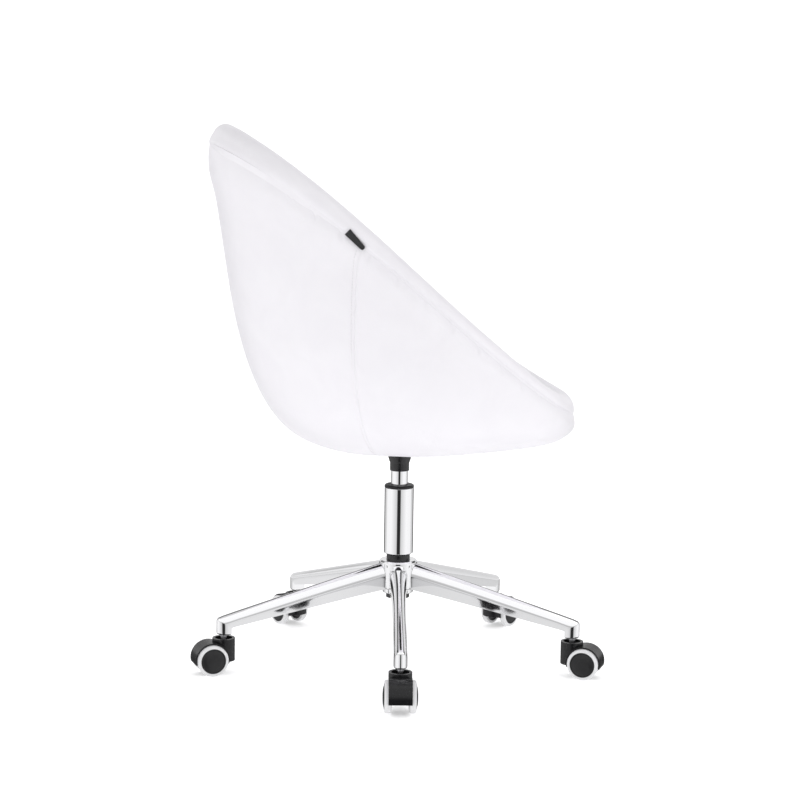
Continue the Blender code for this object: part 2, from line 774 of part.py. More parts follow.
def seat_solid(section):
    """A closed solid from section(azimuth), the (radius, height) points from pole to pole."""
    azimuths = [(i + 0.5) * math.tau / AZIMUTHS for i in range(AZIMUTHS)]
    columns = [section(azimuth) for azimuth in azimuths]
    rings = [[Vector((0.0, 0.0, columns[0][0].y))]]
    for row in range(1, len(columns[0]) - 1):
        rings.append([seat_point(column[row].x, column[row].y, azimuth) for column, azimuth in zip(columns, azimuths)])
    rings.append([Vector((0.0, 0.0, columns[0][-1].y))])
    return lofted(rings, "nested")


def layer_section(azimuth, outside, inside):
    """One bowl-shaped layer between two insets."""
    outer = meridian(azimuth, outside)
    inner = meridian(azimuth, inside)
    first = Vector((0.0, outer[0].y))
    last = Vector((0.0, inner[0].y))
    return [first, *outer, *reversed(inner), last]


def liner_inside(azimuth):
    """(radius, height) points down the liner's inner face, from the roll to the floor's edge."""
    floor = COVER_FOOT + LINER_INSET + LINER_FLOOR
    top = Vector((RIM_RADIUS - 2 * ROLL_HALF_WIDTH, roll_height(azimuth)))
    corner = Vector((LINER_CORNER, floor))
    handle = Vector((top.x, floor + 0.35 * (top.y - floor)))
    points = []
    steps = 7
    for i in range(steps + 1):
        t = i / steps
        s = 1.0 - t
        points.append(s * s * top + 2 * s * t * handle + t * t * corner)
    return points


def liner_section(azimuth):
    """The padded liner: up the shell's inside, out over its edge, round the roll and down."""
    outer = meridian(azimuth, LINER_INSET)
    middle = roll_height(azimuth)
    high = blended(ROLL_HALF_HEIGHT, azimuth)
    centre = Vector((RIM_RADIUS - ROLL_HALF_WIDTH, middle))
    lip = middle - SEAM_DROP + SHEET_GAP
    outer[-1] = Vector((outer[-1].x, lip))
    roll = []
    steps = 8
    start = -math.asin((SEAM_DROP - SHEET_GAP) / high)
    for i in range(steps):
        angle = start + (math.pi - start) * i / steps
        roll.append(centre + Vector((ROLL_HALF_WIDTH * math.cos(angle), high * math.sin(angle))))
    inner = liner_inside(azimuth)
    return [Vector((0.0, outer[0].y)), *outer, *roll, *inner, Vector((0.0, inner[-1].y))]


def pad_section(azimuth):
    """The seat cushion: its side follows the liner at a gap, and its top is crowned."""
    wall = liner_inside(azimuth)

    def room(height):
        """The pad's radius at this height."""
        for upper, lower in zip(wall, wall[1:]):
            if lower.y <= height <= upper.y:
                share = (height - lower.y) / (upper.y - lower.y)
                return lower.x + share * (upper.x - lower.x) - 2 * SOFT_GAP
        return wall[0].x - 2 * SOFT_GAP

    foot = COVER_FOOT + LINER_INSET + LINER_FLOOR + SOFT_GAP
    top = SEAT_HEIGHT - SEAT_CROWN
    edge = room(top - PAD_ROUND)
    return [
        Vector((0.0, foot)),
        Vector((room(foot) - PAD_ROUND, foot)),
        Vector((room(foot + 0.5 * PAD_ROUND) - 0.3 * PAD_ROUND, foot + 0.5 * PAD_ROUND)),
        Vector((room(foot + 1.3 * PAD_ROUND), foot + 1.3 * PAD_ROUND)),
        Vector((edge, top - PAD_ROUND)),
        Vector((edge - 0.4 * PAD_ROUND, top - 0.2 * PAD_ROUND)),
        Vector((edge - 1.5 * PAD_ROUND, top)),
        Vector((0.5 * edge, SEAT_HEIGHT - 0.3 * SEAT_CROWN)),
        Vector((0.0, SEAT_HEIGHT)),
    ]


def tag_mesh():
    """A plain ribbon tag that lies along the rim seam."""
    outline = []
    azimuth = TAG_AZIMUTH
    step = 0.5 * TAG_LENGTH / RIM_RADIUS
    ends = []
    for side in (-1.0, 1.0):
        angle = azimuth + side * step
        ends.append(seat_point(RIM_RADIUS + TAG_STAND_OFF, roll_height(angle) - TAG_DROP, angle))
    along = (ends[1] - ends[0]).normalized()
    out = Vector((math.sin(azimuth), -math.cos(azimuth), 0.0))
    out = (out - along * out.dot(along)).normalized()
    up = out.cross(along)
    middle = (ends[0] + ends[1]) / 2
    for low in (0.0, TAG_THICKNESS):
        ring = []
        for a, b in ((-1, -TAG_WIDTH), (1, -TAG_TIP_WIDTH), (1, TAG_TIP_WIDTH), (-1, TAG_WIDTH)):
            ring.append(middle + along * (a * TAG_LENGTH / 2) + up * (b / 2) + out * low)
        outline.append(ring)
    return lofted(outline)


def build_bucket(seat, finishes):
    drill = bolt_holes(0.0, PLATE_TOP + BOLT_REACH + GAP)
    cover = seat_solid(lambda a: layer_section(a, 0.0, COVER_THICKNESS))
    piece("outer_cover", carved(cover, drill), finishes["leather"], seat)
    drill = bolt_holes(0.0, PLATE_TOP + BOLT_REACH + GAP)
    shell = seat_solid(lambda a: layer_section(a, SHELL_INSET, SHELL_INSET + SHELL_THICKNESS))
    piece("seat_shell", carved(shell, drill), finishes["board"], seat)
    piece("inner_liner", seat_solid(liner_section), finishes["leather"], seat)
    piece("seat_cushion", seat_solid(pad_section), finishes["leather"], seat)
    piece("side_tag", tag_mesh(), finishes["ribbon"], seat)


# ---------------------------------------------------------------- assembly


def swivel_axis_place():
    """Where the swivel axis stands, so that the origin is under the middle of the chair's box."""
    xs = [RIM_RADIUS, -RIM_RADIUS]
    ys = [RIM_RADIUS + RIM_SHIFT, RIM_SHIFT - RIM_RADIUS]
    reach = STEM_CIRCLE + TRAIL + FENDER_RADIUS
    for k in range(CASTERS):
        angle = BASE_TURN + math.pi + k * math.tau / CASTERS
        for side in (-HOOD_HALF_WIDTH, HOOD_HALF_WIDTH):
            corner = Matrix.Rotation(angle, 3, "Z") @ Vector((reach, side, 0.0))
            xs.append(corner.x)
            ys.append(corner.y)
    return (-(min(xs) + max(xs)) / 2, -(min(ys) + max(ys)) / 2, 0.0)


def main():
    clear_scene()
    finishes = {
        "chrome": finish("chrome", (0.80, 0.80, 0.82), 0.08, 1.0),
        "steel": finish("steel", (0.55, 0.55, 0.57), 0.35, 1.0),
        "plate": finish("painted_plate", (0.03, 0.03, 0.03), 0.5, 0.2),
        "black": finish("black_plastic", (0.02, 0.02, 0.02), 0.35),
        "tread": finish("pale_tread", (0.82, 0.82, 0.80), 0.55),
        "leather": finish("white_leather", (0.86, 0.85, 0.87), 0.45),
        "board": finish("moulded_board", (0.55, 0.42, 0.28), 0.7),
        "ribbon": finish("black_ribbon", (0.02, 0.02, 0.02), 0.8),
    }
    chair = empty("chair", None, swivel_axis_place())
    base = empty("base", chair, turn=BASE_TURN)
    seat = empty("seat", chair)
    build_casters(base, finishes)
    build_base(base, finishes)
    build_column(base, seat, finishes)
    build_plate(seat, finishes)
    build_bucket(seat, finishes)


main()
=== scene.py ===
# %% [markdown]
# # A swivel tub chair, from a measured frame to a finished picture
#
# The chair is a round bucket seat in white leather. It stands on a gas column, and a chromed
# star base carries five twin-wheel casters. The measured frame already holds every solid piece
# in its place. This lesson adds what the eye looks for: soft padding, seams and stitches,
# rounded edges, chrome that has something to reflect, and a quiet studio around it.

# %% Load the measured frame
import math

import bmesh
import bpy
import numpy as np
from mathutils import Matrix, Vector


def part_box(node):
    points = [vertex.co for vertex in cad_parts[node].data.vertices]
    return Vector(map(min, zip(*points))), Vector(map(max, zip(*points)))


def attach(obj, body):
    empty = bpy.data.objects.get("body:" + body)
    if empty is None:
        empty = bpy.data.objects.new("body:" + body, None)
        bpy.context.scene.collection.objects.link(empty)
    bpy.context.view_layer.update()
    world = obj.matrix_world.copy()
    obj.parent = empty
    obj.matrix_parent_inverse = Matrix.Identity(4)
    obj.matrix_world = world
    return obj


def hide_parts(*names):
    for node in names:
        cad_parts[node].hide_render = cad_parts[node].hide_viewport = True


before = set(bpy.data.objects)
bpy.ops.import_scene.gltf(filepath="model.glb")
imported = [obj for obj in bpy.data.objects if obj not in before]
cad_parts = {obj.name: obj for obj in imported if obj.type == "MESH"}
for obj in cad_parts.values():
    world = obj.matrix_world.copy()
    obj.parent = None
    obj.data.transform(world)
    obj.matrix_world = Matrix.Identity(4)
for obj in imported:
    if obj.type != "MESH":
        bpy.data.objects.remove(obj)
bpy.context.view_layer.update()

# %% [markdown]
# ## Where things are
#
# Two facts place everything else: the line that the seat swivels on, and the direction of the
# first arm of the base. Both come from the frame. The column is round, so the middle of its
# box is on the swivel line. The first caster stem then gives the arm's direction and reach.

# %% Swivel line and arms
MM = 0.001


def middle_of(node):
    low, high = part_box(node)
    return (low + high) / 2


axis = middle_of("lift_column")
axis.z = 0.0
first_stem = middle_of("caster_stem_1") - axis
stem_circle = math.hypot(first_stem.x, first_stem.y)
base_turn = math.atan2(first_stem.y, first_stem.x)
ARMS = 5
arm_angles = [base_turn + k * math.tau / ARMS for k in range(ARMS)]
print(f"stems on a {2 * stem_circle:.3f} m circle, first arm at {math.degrees(base_turn):.1f} deg")

# %% [markdown]
# ## Camera
#
# The chair is seen from the sitter's right, a little from behind the middle, with a long lens
# and from just above the seat. A long lens far away keeps upright lines upright, which is how
# furniture is usually shown. The camera leans by less than a degree.

# %% Set the camera
CAMERA_DISTANCE = 3.6865
CAMERA_HEIGHT = 0.9547
CAMERA_ASIDE = 0.0209
CAMERA_LENS = 101.2
CAMERA_PITCH = math.radians(7.93)
CAMERA_YAW = math.radians(0.31)
CAMERA_ROLL = math.radians(0.86)
SEAT_TURN = math.radians(5.53)  # how far the seat faces away from square to the camera

camera_data = bpy.data.cameras.new("camera")
camera_data.lens = CAMERA_LENS
camera_data.sensor_width = 36.0
camera_data.clip_end = 60.0
camera = bpy.data.objects.new("camera", camera_data)
bpy.context.scene.collection.objects.link(camera)
bpy.context.scene.camera = camera
turned_out = Matrix.Rotation(-SEAT_TURN, 3, "Z")
stand = turned_out @ Vector((-CAMERA_DISTANCE, CAMERA_ASIDE, 0.0))
camera.location = axis + stand + Vector((0.0, 0.0, CAMERA_HEIGHT))
heading = turned_out @ Vector((math.cos(CAMERA_YAW), -math.sin(CAMERA_YAW), 0.0))
gaze = heading * math.cos(CAMERA_PITCH) - Vector((0.0, 0.0, math.sin(CAMERA_PITCH)))
camera.rotation_mode = "QUATERNION"
look = gaze.to_track_quat("-Z", "Y")
camera.rotation_quaternion = look @ Matrix.Rotation(CAMERA_ROLL, 3, "Z").to_quaternion()
print("camera at", [round(x, 3) for x in camera.location])

# %% [markdown]
# ## Small modelling helpers
#
# Operators act on whatever is selected, and the frame's solids arrive selected. So the first
# helper clears the selection and makes one object active. The others add a mesh as an object,
# apply a modifier, cut one piece with another, and finish a piece: normals out, smooth shading
# with sharp corners kept, and its object left at the origin, as the frame's solids are.

# %% Selection, modifiers and cutting


def pick(piece):
    if bpy.context.mode != "OBJECT":
        bpy.ops.object.mode_set(mode="OBJECT")
    bpy.ops.object.select_all(action="DESELECT")
    piece.select_set(True)
    bpy.context.view_layer.objects.active = piece
    return piece


def add_mesh(name, points, faces):
    mesh = bpy.data.meshes.new(name)
    mesh.from_pydata([tuple(p) for p in points], [], faces)
    mesh.update()
    piece = bpy.data.objects.new(name, mesh)
    bpy.context.scene.collection.objects.link(piece)
    return pick(piece)


def apply_modifier(piece, kind, **settings):
    pick(piece)
    modifier = piece.modifiers.new(kind.lower(), kind)
    for key, value in settings.items():
        setattr(modifier, key, value)
    bpy.ops.object.modifier_apply(modifier=modifier.name)
    return piece


def combine(piece, other, operation="DIFFERENCE"):
    apply_modifier(piece, "BOOLEAN", operation=operation, object=other, solver="EXACT")
    bpy.data.objects.remove(other, do_unlink=True)
    return piece


def tidy(piece, sharp=35.0, merge=0.00001, flats=False):
    """Merge doubles, turn faces out, and shade smooth except at corners over the sharp angle.

    With flats, large faces keep their own direction, and the shading bends only in small ones."""
    pick(piece)
    bpy.ops.object.transform_apply(location=True, rotation=True, scale=True)
    bpy.ops.object.mode_set(mode="EDIT")
    bpy.ops.mesh.select_all(action="SELECT")
    bpy.ops.mesh.remove_doubles(threshold=merge)
    bpy.ops.mesh.normals_make_consistent(inside=False)
    bpy.ops.object.mode_set(mode="OBJECT")
    bpy.ops.object.shade_smooth_by_angle(angle=math.radians(sharp))
    if flats:
        apply_modifier(piece, "WEIGHTED_NORMAL", keep_sharp=True, weight=80)
    return piece


def soften(piece, width, segments=3, angle=30.0):
    """Round the corners that are sharper than the angle."""
    return apply_modifier(
        piece, "BEVEL", width=width, segments=segments, limit_method="ANGLE",
        angle_limit=math.radians(angle), miter_outer="MITER_ARC", use_clamp_overlap=True,
    )


# %% [markdown]
# ## Round pieces
#
# Most of the column is turned on a lathe, so it is modelled as a lathe would cut it: draw half
# of the outline, then spin it round the axis. An outline that starts and ends on the axis gives
# a solid, and a closed outline away from the axis gives a sleeve.

# %% Spin an outline
def held(outline, near, closed):
    """Add points close to both ends of each long line, which keep the shading of flats flat."""
    count = len(outline)
    made = []
    for i, (r, z) in enumerate(outline):
        made.append((r, z))
        if i == count - 1 and not closed:
            break
        r2, z2 = outline[(i + 1) % count]
        length = math.hypot(r2 - r, z2 - z)
        if length > 5 * near:
            for share in (near / length, 1.0 - near / length):
                made.append((r + (r2 - r) * share, z + (z2 - z) * share))
    return made


def spun(name, outline, sides=64, edge=0.0, sleeve=False):
    """A round piece about its own Z axis, from (radius, height) points of the outline."""
    outline = held(outline, 2.5 * edge, sleeve) if edge else outline
    count = len(outline)
    lines = [(i, (i + 1) % count) for i in range(count if sleeve else count - 1)]
    mesh = bpy.data.meshes.new(name)
    mesh.from_pydata([(r, 0.0, z) for r, z in outline], lines, [])
    piece = bpy.data.objects.new(name, mesh)
    bpy.context.scene.collection.objects.link(piece)
    pick(piece)
    bpy.ops.object.mode_set(mode="EDIT")
    bpy.ops.mesh.select_all(action="SELECT")
    bpy.ops.mesh.spin(steps=sides, angle=math.tau, center=(0, 0, 0), axis=(0, 0, 1))
    bpy.ops.mesh.select_all(action="SELECT")
    bpy.ops.mesh.remove_doubles(threshold=0.00002)
    bpy.ops.mesh.normals_make_consistent(inside=False)
    bpy.ops.object.mode_set(mode="OBJECT")
    if edge:
        soften(piece, edge)
    return piece


def place(piece, matrix):
    """Move the mesh itself, so that the object stays at the origin."""
    piece.data.transform(matrix)
    return piece


def copied(piece, name, matrix):
    """A copy with its own mesh, moved by the matrix."""
    twin = bpy.data.objects.new(name, piece.data.copy())
    bpy.context.scene.collection.objects.link(twin)
    return place(twin, matrix)


def dress(piece, material, body, node):
    """Give a piece its finish, its body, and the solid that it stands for."""
    piece.data.materials.append(material)
    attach(piece, body)
    if node:
        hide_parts(node)
    return piece


to_axis = Matrix.Translation(axis)

# %% [markdown]
# ## Marks that several finishes share
#
# Real surfaces are never even. Chrome has faint polishing marks and a few smears, plastic has
# the fine grain of its mould, and leather has pores and shallow folds. Each of these is a node
# group that gives out masks or a height, and the finishes below use them with their own values.

# %% Node helpers


def new_group(name, inputs, outputs):
    group = bpy.data.node_groups.new(name, "ShaderNodeTree")
    for label, value in inputs:
        socket = group.interface.new_socket(label, in_out="INPUT", socket_type="NodeSocketFloat")
        socket.default_value = value
    for label in outputs:
        group.interface.new_socket(label, in_out="OUTPUT", socket_type="NodeSocketFloat")
    return group, group.nodes.new("NodeGroupInput"), group.nodes.new("NodeGroupOutput")


def add_node(tree, kind, links=(), **settings):
    """A node with its settings. A link is (input, value or socket)."""
    made = tree.nodes.new(kind)
    for key, value in settings.items():
        setattr(made, key, value)
    for name, value in links:
        socket = made.inputs[name]
        if isinstance(value, bpy.types.NodeSocket):
            tree.links.new(value, socket)
        else:
            socket.default_value = value
    return made


def maths(tree, operation, first, second=0.0, clamp=False):
    links = [(0, first), (1, second)]
    return add_node(tree, "ShaderNodeMath", links, operation=operation, use_clamp=clamp).outputs[0]


def noise(tree, vector, scale, detail=3.0, roughness=0.5, distortion=0.0):
    links = [("Vector", vector), ("Scale", scale), ("Detail", detail)]
    links += [("Roughness", roughness), ("Distortion", distortion)]
    return add_node(tree, "ShaderNodeTexNoise", links).outputs["Fac"]


def cells(tree, vector, scale, feature="F1"):
    node = add_node(tree, "ShaderNodeTexVoronoi", [("Vector", vector), ("Scale", scale)])
    node.feature = feature
    return node.outputs["Distance"]


def spread(tree, value, low, high, to_low=0.0, to_high=1.0):
    """Map a value from one span to another, held at its ends."""
    links = [("Value", value), ("From Min", low), ("From Max", high)]
    links += [("To Min", to_low), ("To Max", to_high)]
    return add_node(tree, "ShaderNodeMapRange", links).outputs["Result"]


# %% Leather pores and folds
leather_marks, given, result = new_group(
    "leather_marks", [("Pore size", 1.1), ("Fold size", 60.0)], ["Height", "Tone", "Shine"]
)
place_on = add_node(leather_marks, "ShaderNodeTexCoord").outputs["Object"]
pore_scale = maths(leather_marks, "DIVIDE", 1000.0, given.outputs["Pore size"])
fold_scale = maths(leather_marks, "DIVIDE", 1000.0, given.outputs["Fold size"])
pores = cells(leather_marks, place_on, pore_scale)
pebbles = cells(leather_marks, place_on, maths(leather_marks, "MULTIPLY", pore_scale, 0.45))
folds = noise(leather_marks, place_on, fold_scale, 4.0, 0.55, 0.6)
fine = noise(leather_marks, place_on, maths(leather_marks, "MULTIPLY", pore_scale, 1.7), 2.0)
rough_height = maths(leather_marks, "ADD", maths(leather_marks, "MULTIPLY", pores, 0.55), pebbles)
rough_height = maths(leather_marks, "ADD", rough_height, maths(leather_marks, "MULTIPLY", fine, 0.4))
leather_marks.links.new(rough_height, result.inputs["Height"])
leather_marks.links.new(spread(leather_marks, folds, 0.3, 0.7), result.inputs["Tone"])
leather_marks.links.new(spread(leather_marks, pores, 0.0, 0.7), result.inputs["Shine"])

# %% Polishing marks on chrome
polish_marks, given, result = new_group(
    "polish_marks", [("Hairline size", 2.0), ("Smear size", 45.0)], ["Hairlines", "Smears"]
)
place_on = add_node(polish_marks, "ShaderNodeTexCoord").outputs["Object"]
stretch = add_node(polish_marks, "ShaderNodeMapping", [("Vector", place_on)])
stretch.inputs["Scale"].default_value = (1.0, 1.0, 0.08)
hair_scale = maths(polish_marks, "DIVIDE", 1000.0, given.outputs["Hairline size"])
smear_scale = maths(polish_marks, "DIVIDE", 1000.0, given.outputs["Smear size"])
hairs = noise(polish_marks, stretch.outputs["Vector"], hair_scale, 5.0, 0.7)
smears = noise(polish_marks, place_on, smear_scale, 4.0, 0.6, 0.8)
polish_marks.links.new(spread(polish_marks, hairs, 0.35, 0.65), result.inputs["Hairlines"])
polish_marks.links.new(spread(polish_marks, smears, 0.45, 0.75), result.inputs["Smears"])

# %% Moulding grain and dust on plastic
mould_marks, given, result = new_group(
    "mould_marks", [("Grain size", 0.45), ("Dust size", 14.0)], ["Height", "Dust"]
)
place_on = add_node(mould_marks, "ShaderNodeTexCoord").outputs["Object"]
grain_scale = maths(mould_marks, "DIVIDE", 1000.0, given.outputs["Grain size"])
dust_scale = maths(mould_marks, "DIVIDE", 1000.0, given.outputs["Dust size"])
grain = cells(mould_marks, place_on, grain_scale, "SMOOTH_F1")
dust = noise(mould_marks, place_on, dust_scale, 6.0, 0.65)
mould_marks.links.new(grain, result.inputs["Height"])
mould_marks.links.new(spread(mould_marks, dust, 0.5, 0.85), result.inputs["Dust"])
print("node groups:", [g.name for g in bpy.data.node_groups])

# %% [markdown]
# ## Finishes
#
# A finish is a Principled shader with its own plain values. What varies over the surface comes
# from the groups: it moves the colour or the roughness a little, or it goes through a Bump node
# to the normal. The helper makes the shader, and each finish then adds its own links.

# %% Start a finish


def new_finish(name, colour, roughness, metallic=0.0, **values):
    material = bpy.data.materials.new(name)
    material.use_nodes = True
    tree = material.node_tree
    shader = tree.nodes["Principled BSDF"]
    shader.inputs["Base Color"].default_value = (*colour, 1.0)
    shader.inputs["Roughness"].default_value = roughness
    shader.inputs["Metallic"].default_value = metallic
    for label, value in values.items():
        shader.inputs[label.replace("_", " ")].default_value = value
    material.diffuse_color = (*colour, 1.0)
    return material, tree, shader


def marks(tree, group, **values):
    node = add_node(tree, "ShaderNodeGroup", node_tree=group)
    for label, value in values.items():
        node.inputs[label.replace("_", " ")].default_value = value
    return node


def bumped(tree, shader, height, distance, strength=1.0, after=None):
    links = [("Height", height), ("Distance", distance), ("Strength", strength)]
    if after is not None:
        links.append(("Normal", after))
    normal = add_node(tree, "ShaderNodeBump", links).outputs["Normal"]
    tree.links.new(normal, shader.inputs["Normal"])
    return normal


def two_tone(tree, shader, mask, first, second):
    mix = add_node(tree, "ShaderNodeMix", data_type="RGBA")
    tree.links.new(mask, mix.inputs["Factor"])
    mix.inputs["A"].default_value = (*first, 1.0)
    mix.inputs["B"].default_value = (*second, 1.0)
    tree.links.new(mix.outputs["Result"], shader.inputs["Base Color"])


# %% White leather, chrome, steel


def leather_finish(name, light, shade, pore, fold):
    material, tree, shader = new_finish(name, light, 0.42, Coat_Weight=0.12, Coat_Roughness=0.25)
    marked = marks(tree, leather_marks, Pore_size=pore, Fold_size=fold)
    two_tone(tree, shader, marked.outputs["Tone"], shade, light)
    shine = spread(tree, marked.outputs["Shine"], 0.0, 1.0, 0.36, 0.50)
    tree.links.new(shine, shader.inputs["Roughness"])
    place_on = add_node(tree, "ShaderNodeTexCoord").outputs["Object"]
    wide = noise(tree, place_on, 1000.0 / fold, 3.0, 0.5, 0.8)
    folds_normal = bumped(tree, shader, wide, 0.0022, 0.55)
    bumped(tree, shader, marked.outputs["Height"], 0.00012, 0.8, folds_normal)
    return material


def chrome_finish(name, colour, roughness, smear):
    material, tree, shader = new_finish(name, colour, roughness, 1.0)
    marked = marks(tree, polish_marks)
    dull = maths(tree, "MULTIPLY", marked.outputs["Smears"], smear)
    hairline = maths(tree, "MULTIPLY", marked.outputs["Hairlines"], 0.02)
    worn = maths(tree, "ADD", hairline, dull)
    tree.links.new(maths(tree, "ADD", worn, roughness), shader.inputs["Roughness"])
    bumped(tree, shader, marked.outputs["Hairlines"], 0.000004, 0.5)
    return material


def plastic_finish(name, colour, dusty, roughness, grain_depth, dust_amount, **values):
    material, tree, shader = new_finish(name, colour, roughness, **values)
    marked = marks(tree, mould_marks)
    amount = maths(tree, "MULTIPLY", marked.outputs["Dust"], dust_amount)
    two_tone(tree, shader, amount, colour, dusty)
    dull = spread(tree, marked.outputs["Dust"], 0.0, 1.0, roughness, roughness + 0.14)
    tree.links.new(dull, shader.inputs["Roughness"])
    bumped(tree, shader, marked.outputs["Height"], grain_depth, 0.7)
    return material


LEATHER_SHADE = (0.846, 0.829, 0.866)
white_leather = leather_finish("white_leather", (0.872, 0.857, 0.892), LEATHER_SHADE, 1.1, 70.0)
seat_leather = leather_finish("seat_leather", (0.874, 0.858, 0.892), LEATHER_SHADE, 1.2, 45.0)
chrome = chrome_finish("polished_chrome", (0.86, 0.86, 0.87), 0.035, 0.10)
column_chrome = chrome_finish("column_chrome", (0.88, 0.88, 0.89), 0.025, 0.06)
steel = chrome_finish("turned_steel", (0.52, 0.52, 0.54), 0.26, 0.18)
BLACK_DUST = (0.05, 0.05, 0.05)
black_gloss = plastic_finish(
    "black_gloss_plastic", (0.007, 0.007, 0.008), BLACK_DUST, 0.26, 0.00002, 0.2,
    Specular_IOR_Level=0.32,
)
black_satin = plastic_finish(
    "black_satin_plastic", (0.012, 0.012, 0.013), (0.06, 0.06, 0.06), 0.40, 0.00004, 0.25,
    Specular_IOR_Level=0.35,
)
black_paint_and_painted_shade = plastic_finish(
    "black_paint_and_painted_shade", (0.010, 0.010, 0.011), BLACK_DUST, 0.22, 0.00003, 0.2
)
pale_rubber = plastic_finish(
    "pale_tread_rubber", (0.78, 0.78, 0.79), (0.42, 0.41, 0.39), 0.55, 0.00005, 0.35
)
shell_board = plastic_finish(
    "shell_plastic", (0.05, 0.05, 0.05), (0.16, 0.16, 0.16), 0.6, 0.0001, 0.4
)
print("finishes:", len(bpy.data.materials))

# %% [markdown]
# ## The shape of the bucket
#
# The bucket is one smooth surface, and every layer follows it. In plan it is a circle that
# slides back as it rises. Seen from the side, each meridian is a Bezier curve from the flat
# floor to the rim, and the rim slants down from the back to the front with a slight bend.
# The functions work on whole arrays at once, so that thousands of points take no time.

# %% Meridians and rim
FLOOR_RADIUS = 0.101
RIM_RADIUS = 0.303
RIM_SHIFT = 0.0165
RIM_HEIGHT, RIM_SLANT, RIM_ARCH, RIM_BEND = 0.6565, 0.2265, 0.0077, 0.0077
ROLL_HALF_WIDTH = 0.0235
ROLL_HALF_HEIGHT = (0.0230, 0.0190, 0.0240)  # front, side, back
SEAM_DROP = 0.0054
COVER_FOOT = 0.3648
LAYER = 0.0091  # from the cover's outer face to the liner's
FLOOR_HANDLE = (0.209, 0.156, 0.157)
FLOOR_RISE = (0.0225, 0.0, 0.0)
RIM_HANDLE = (0.050, 0.100, 0.253)
RIM_LEAN = (math.radians(-5.0), math.radians(6.3), math.radians(8.8))
LINER_FLOOR = 0.0240
LINER_CORNER = 0.170


def blended(values, azimuth):
    """Front, side and back values blended round the seat. Azimuth 0 is the front."""
    front, side, back = values
    end = np.where(np.cos(azimuth) > 0.0, front, back)
    share = np.cos(azimuth) ** 2
    return share * end + (1.0 - share) * side


def roll_height(azimuth):
    slant = RIM_SLANT * np.cos(azimuth) + RIM_ARCH * np.cos(2 * azimuth)
    return RIM_HEIGHT - slant + RIM_BEND * np.cos(3 * azimuth)


def in_space(radius, height, azimuth):
    share = np.clip((radius - FLOOR_RADIUS) / (RIM_RADIUS - FLOOR_RADIUS), 0.0, 1.0)
    forward = radius * np.cos(azimuth) - RIM_SHIFT * share
    across = radius * np.sin(azimuth)
    return np.stack([axis.x + across, axis.y - forward, height + 0.0 * radius], -1)


def meridian(azimuth, share):
    """(radius, height) of the cover at shares of the way from the floor to the rim seam."""
    lean = blended(RIM_LEAN, azimuth)
    seam = roll_height(azimuth) - SEAM_DROP
    first_x = FLOOR_RADIUS + blended(FLOOR_HANDLE, azimuth)
    first_z = COVER_FOOT + blended(FLOOR_RISE, azimuth)
    handle = np.minimum(blended(RIM_HANDLE, azimuth), seam - first_z)
    second_x = RIM_RADIUS - handle * np.sin(lean)
    second_z = seam - handle * np.cos(lean)
    a, b = (1 - share) ** 3, 3 * (1 - share) ** 2 * share
    c, d = 3 * (1 - share) * share**2, share**3
    radius = a * FLOOR_RADIUS + b * first_x + c * second_x + d * RIM_RADIUS
    height = a * COVER_FOOT + b * first_z + c * second_z + d * seam
    return radius, height


def outward(azimuth, share):
    """Unit vectors square to the cover, pointing out."""
    step = 1e-4
    here = in_space(*meridian(azimuth, share), azimuth)
    along = in_space(*meridian(azimuth + step, share), azimuth + step) - here
    back = np.minimum(share, 1.0 - step)
    above = in_space(*meridian(azimuth, back + step), azimuth)
    below = in_space(*meridian(azimuth, back), azimuth)
    square = np.cross(along, above - below)
    square /= np.linalg.norm(square, axis=-1, keepdims=True) + 1e-12
    return square


ends = np.array([0.0, math.pi])
sample = in_space(*meridian(ends, np.ones(2)), ends)
print("rim seam, front and back:", np.round(sample, 3).tolist())

# %% [markdown]
# ## Seams, folds and puckers in the cover
#
# Leather pulled over a foam-backed shell shows how it was sewn. The rim seam sits in a groove.
# Below it the leather is gathered at even steps, which leaves small puckers. One upright seam
# on each side joins the front and back panels. High on the back the foam gives way under the
# roll, so the seam there is a wide soft valley. Each of these is a height that is added along
# the outward direction.

# %% Heights of the cover's sewn details
SIDE_SEAM = math.radians(107.0)
PUCKER_STEP = math.radians(8.2)


def bell(value, width):
    return np.exp(-((value / width) ** 2))


def ramp(value, start, end):
    share = np.clip((value - start) / (end - start), 0.0, 1.0)
    return share * share * (3.0 - 2.0 * share)


def from_front(azimuth):
    """Angle from the front, 0 to pi, on either side."""
    return np.abs((azimuth + math.pi) % math.tau - math.pi)


def side_seam_at(below):
    """The side seam's angle: it leaves the rim forward of its foot and settles as it drops."""
    forward = math.radians(3.2) * np.exp(-below / 0.035)
    settled = math.radians(2.2) * ramp(below, 0.05, 0.30)
    return SIDE_SEAM - forward + settled


def high_back_at(side):
    """1 high on the back, 0 at the sides and the front."""
    return ramp(side, math.radians(124), math.radians(162))


def valley_at(side):
    """1 where the seam lies in a wide valley, between the side and the middle of the back."""
    start = ramp(side, math.radians(104), math.radians(126))
    return start * (1.0 - ramp(side, math.radians(156), math.radians(174)))


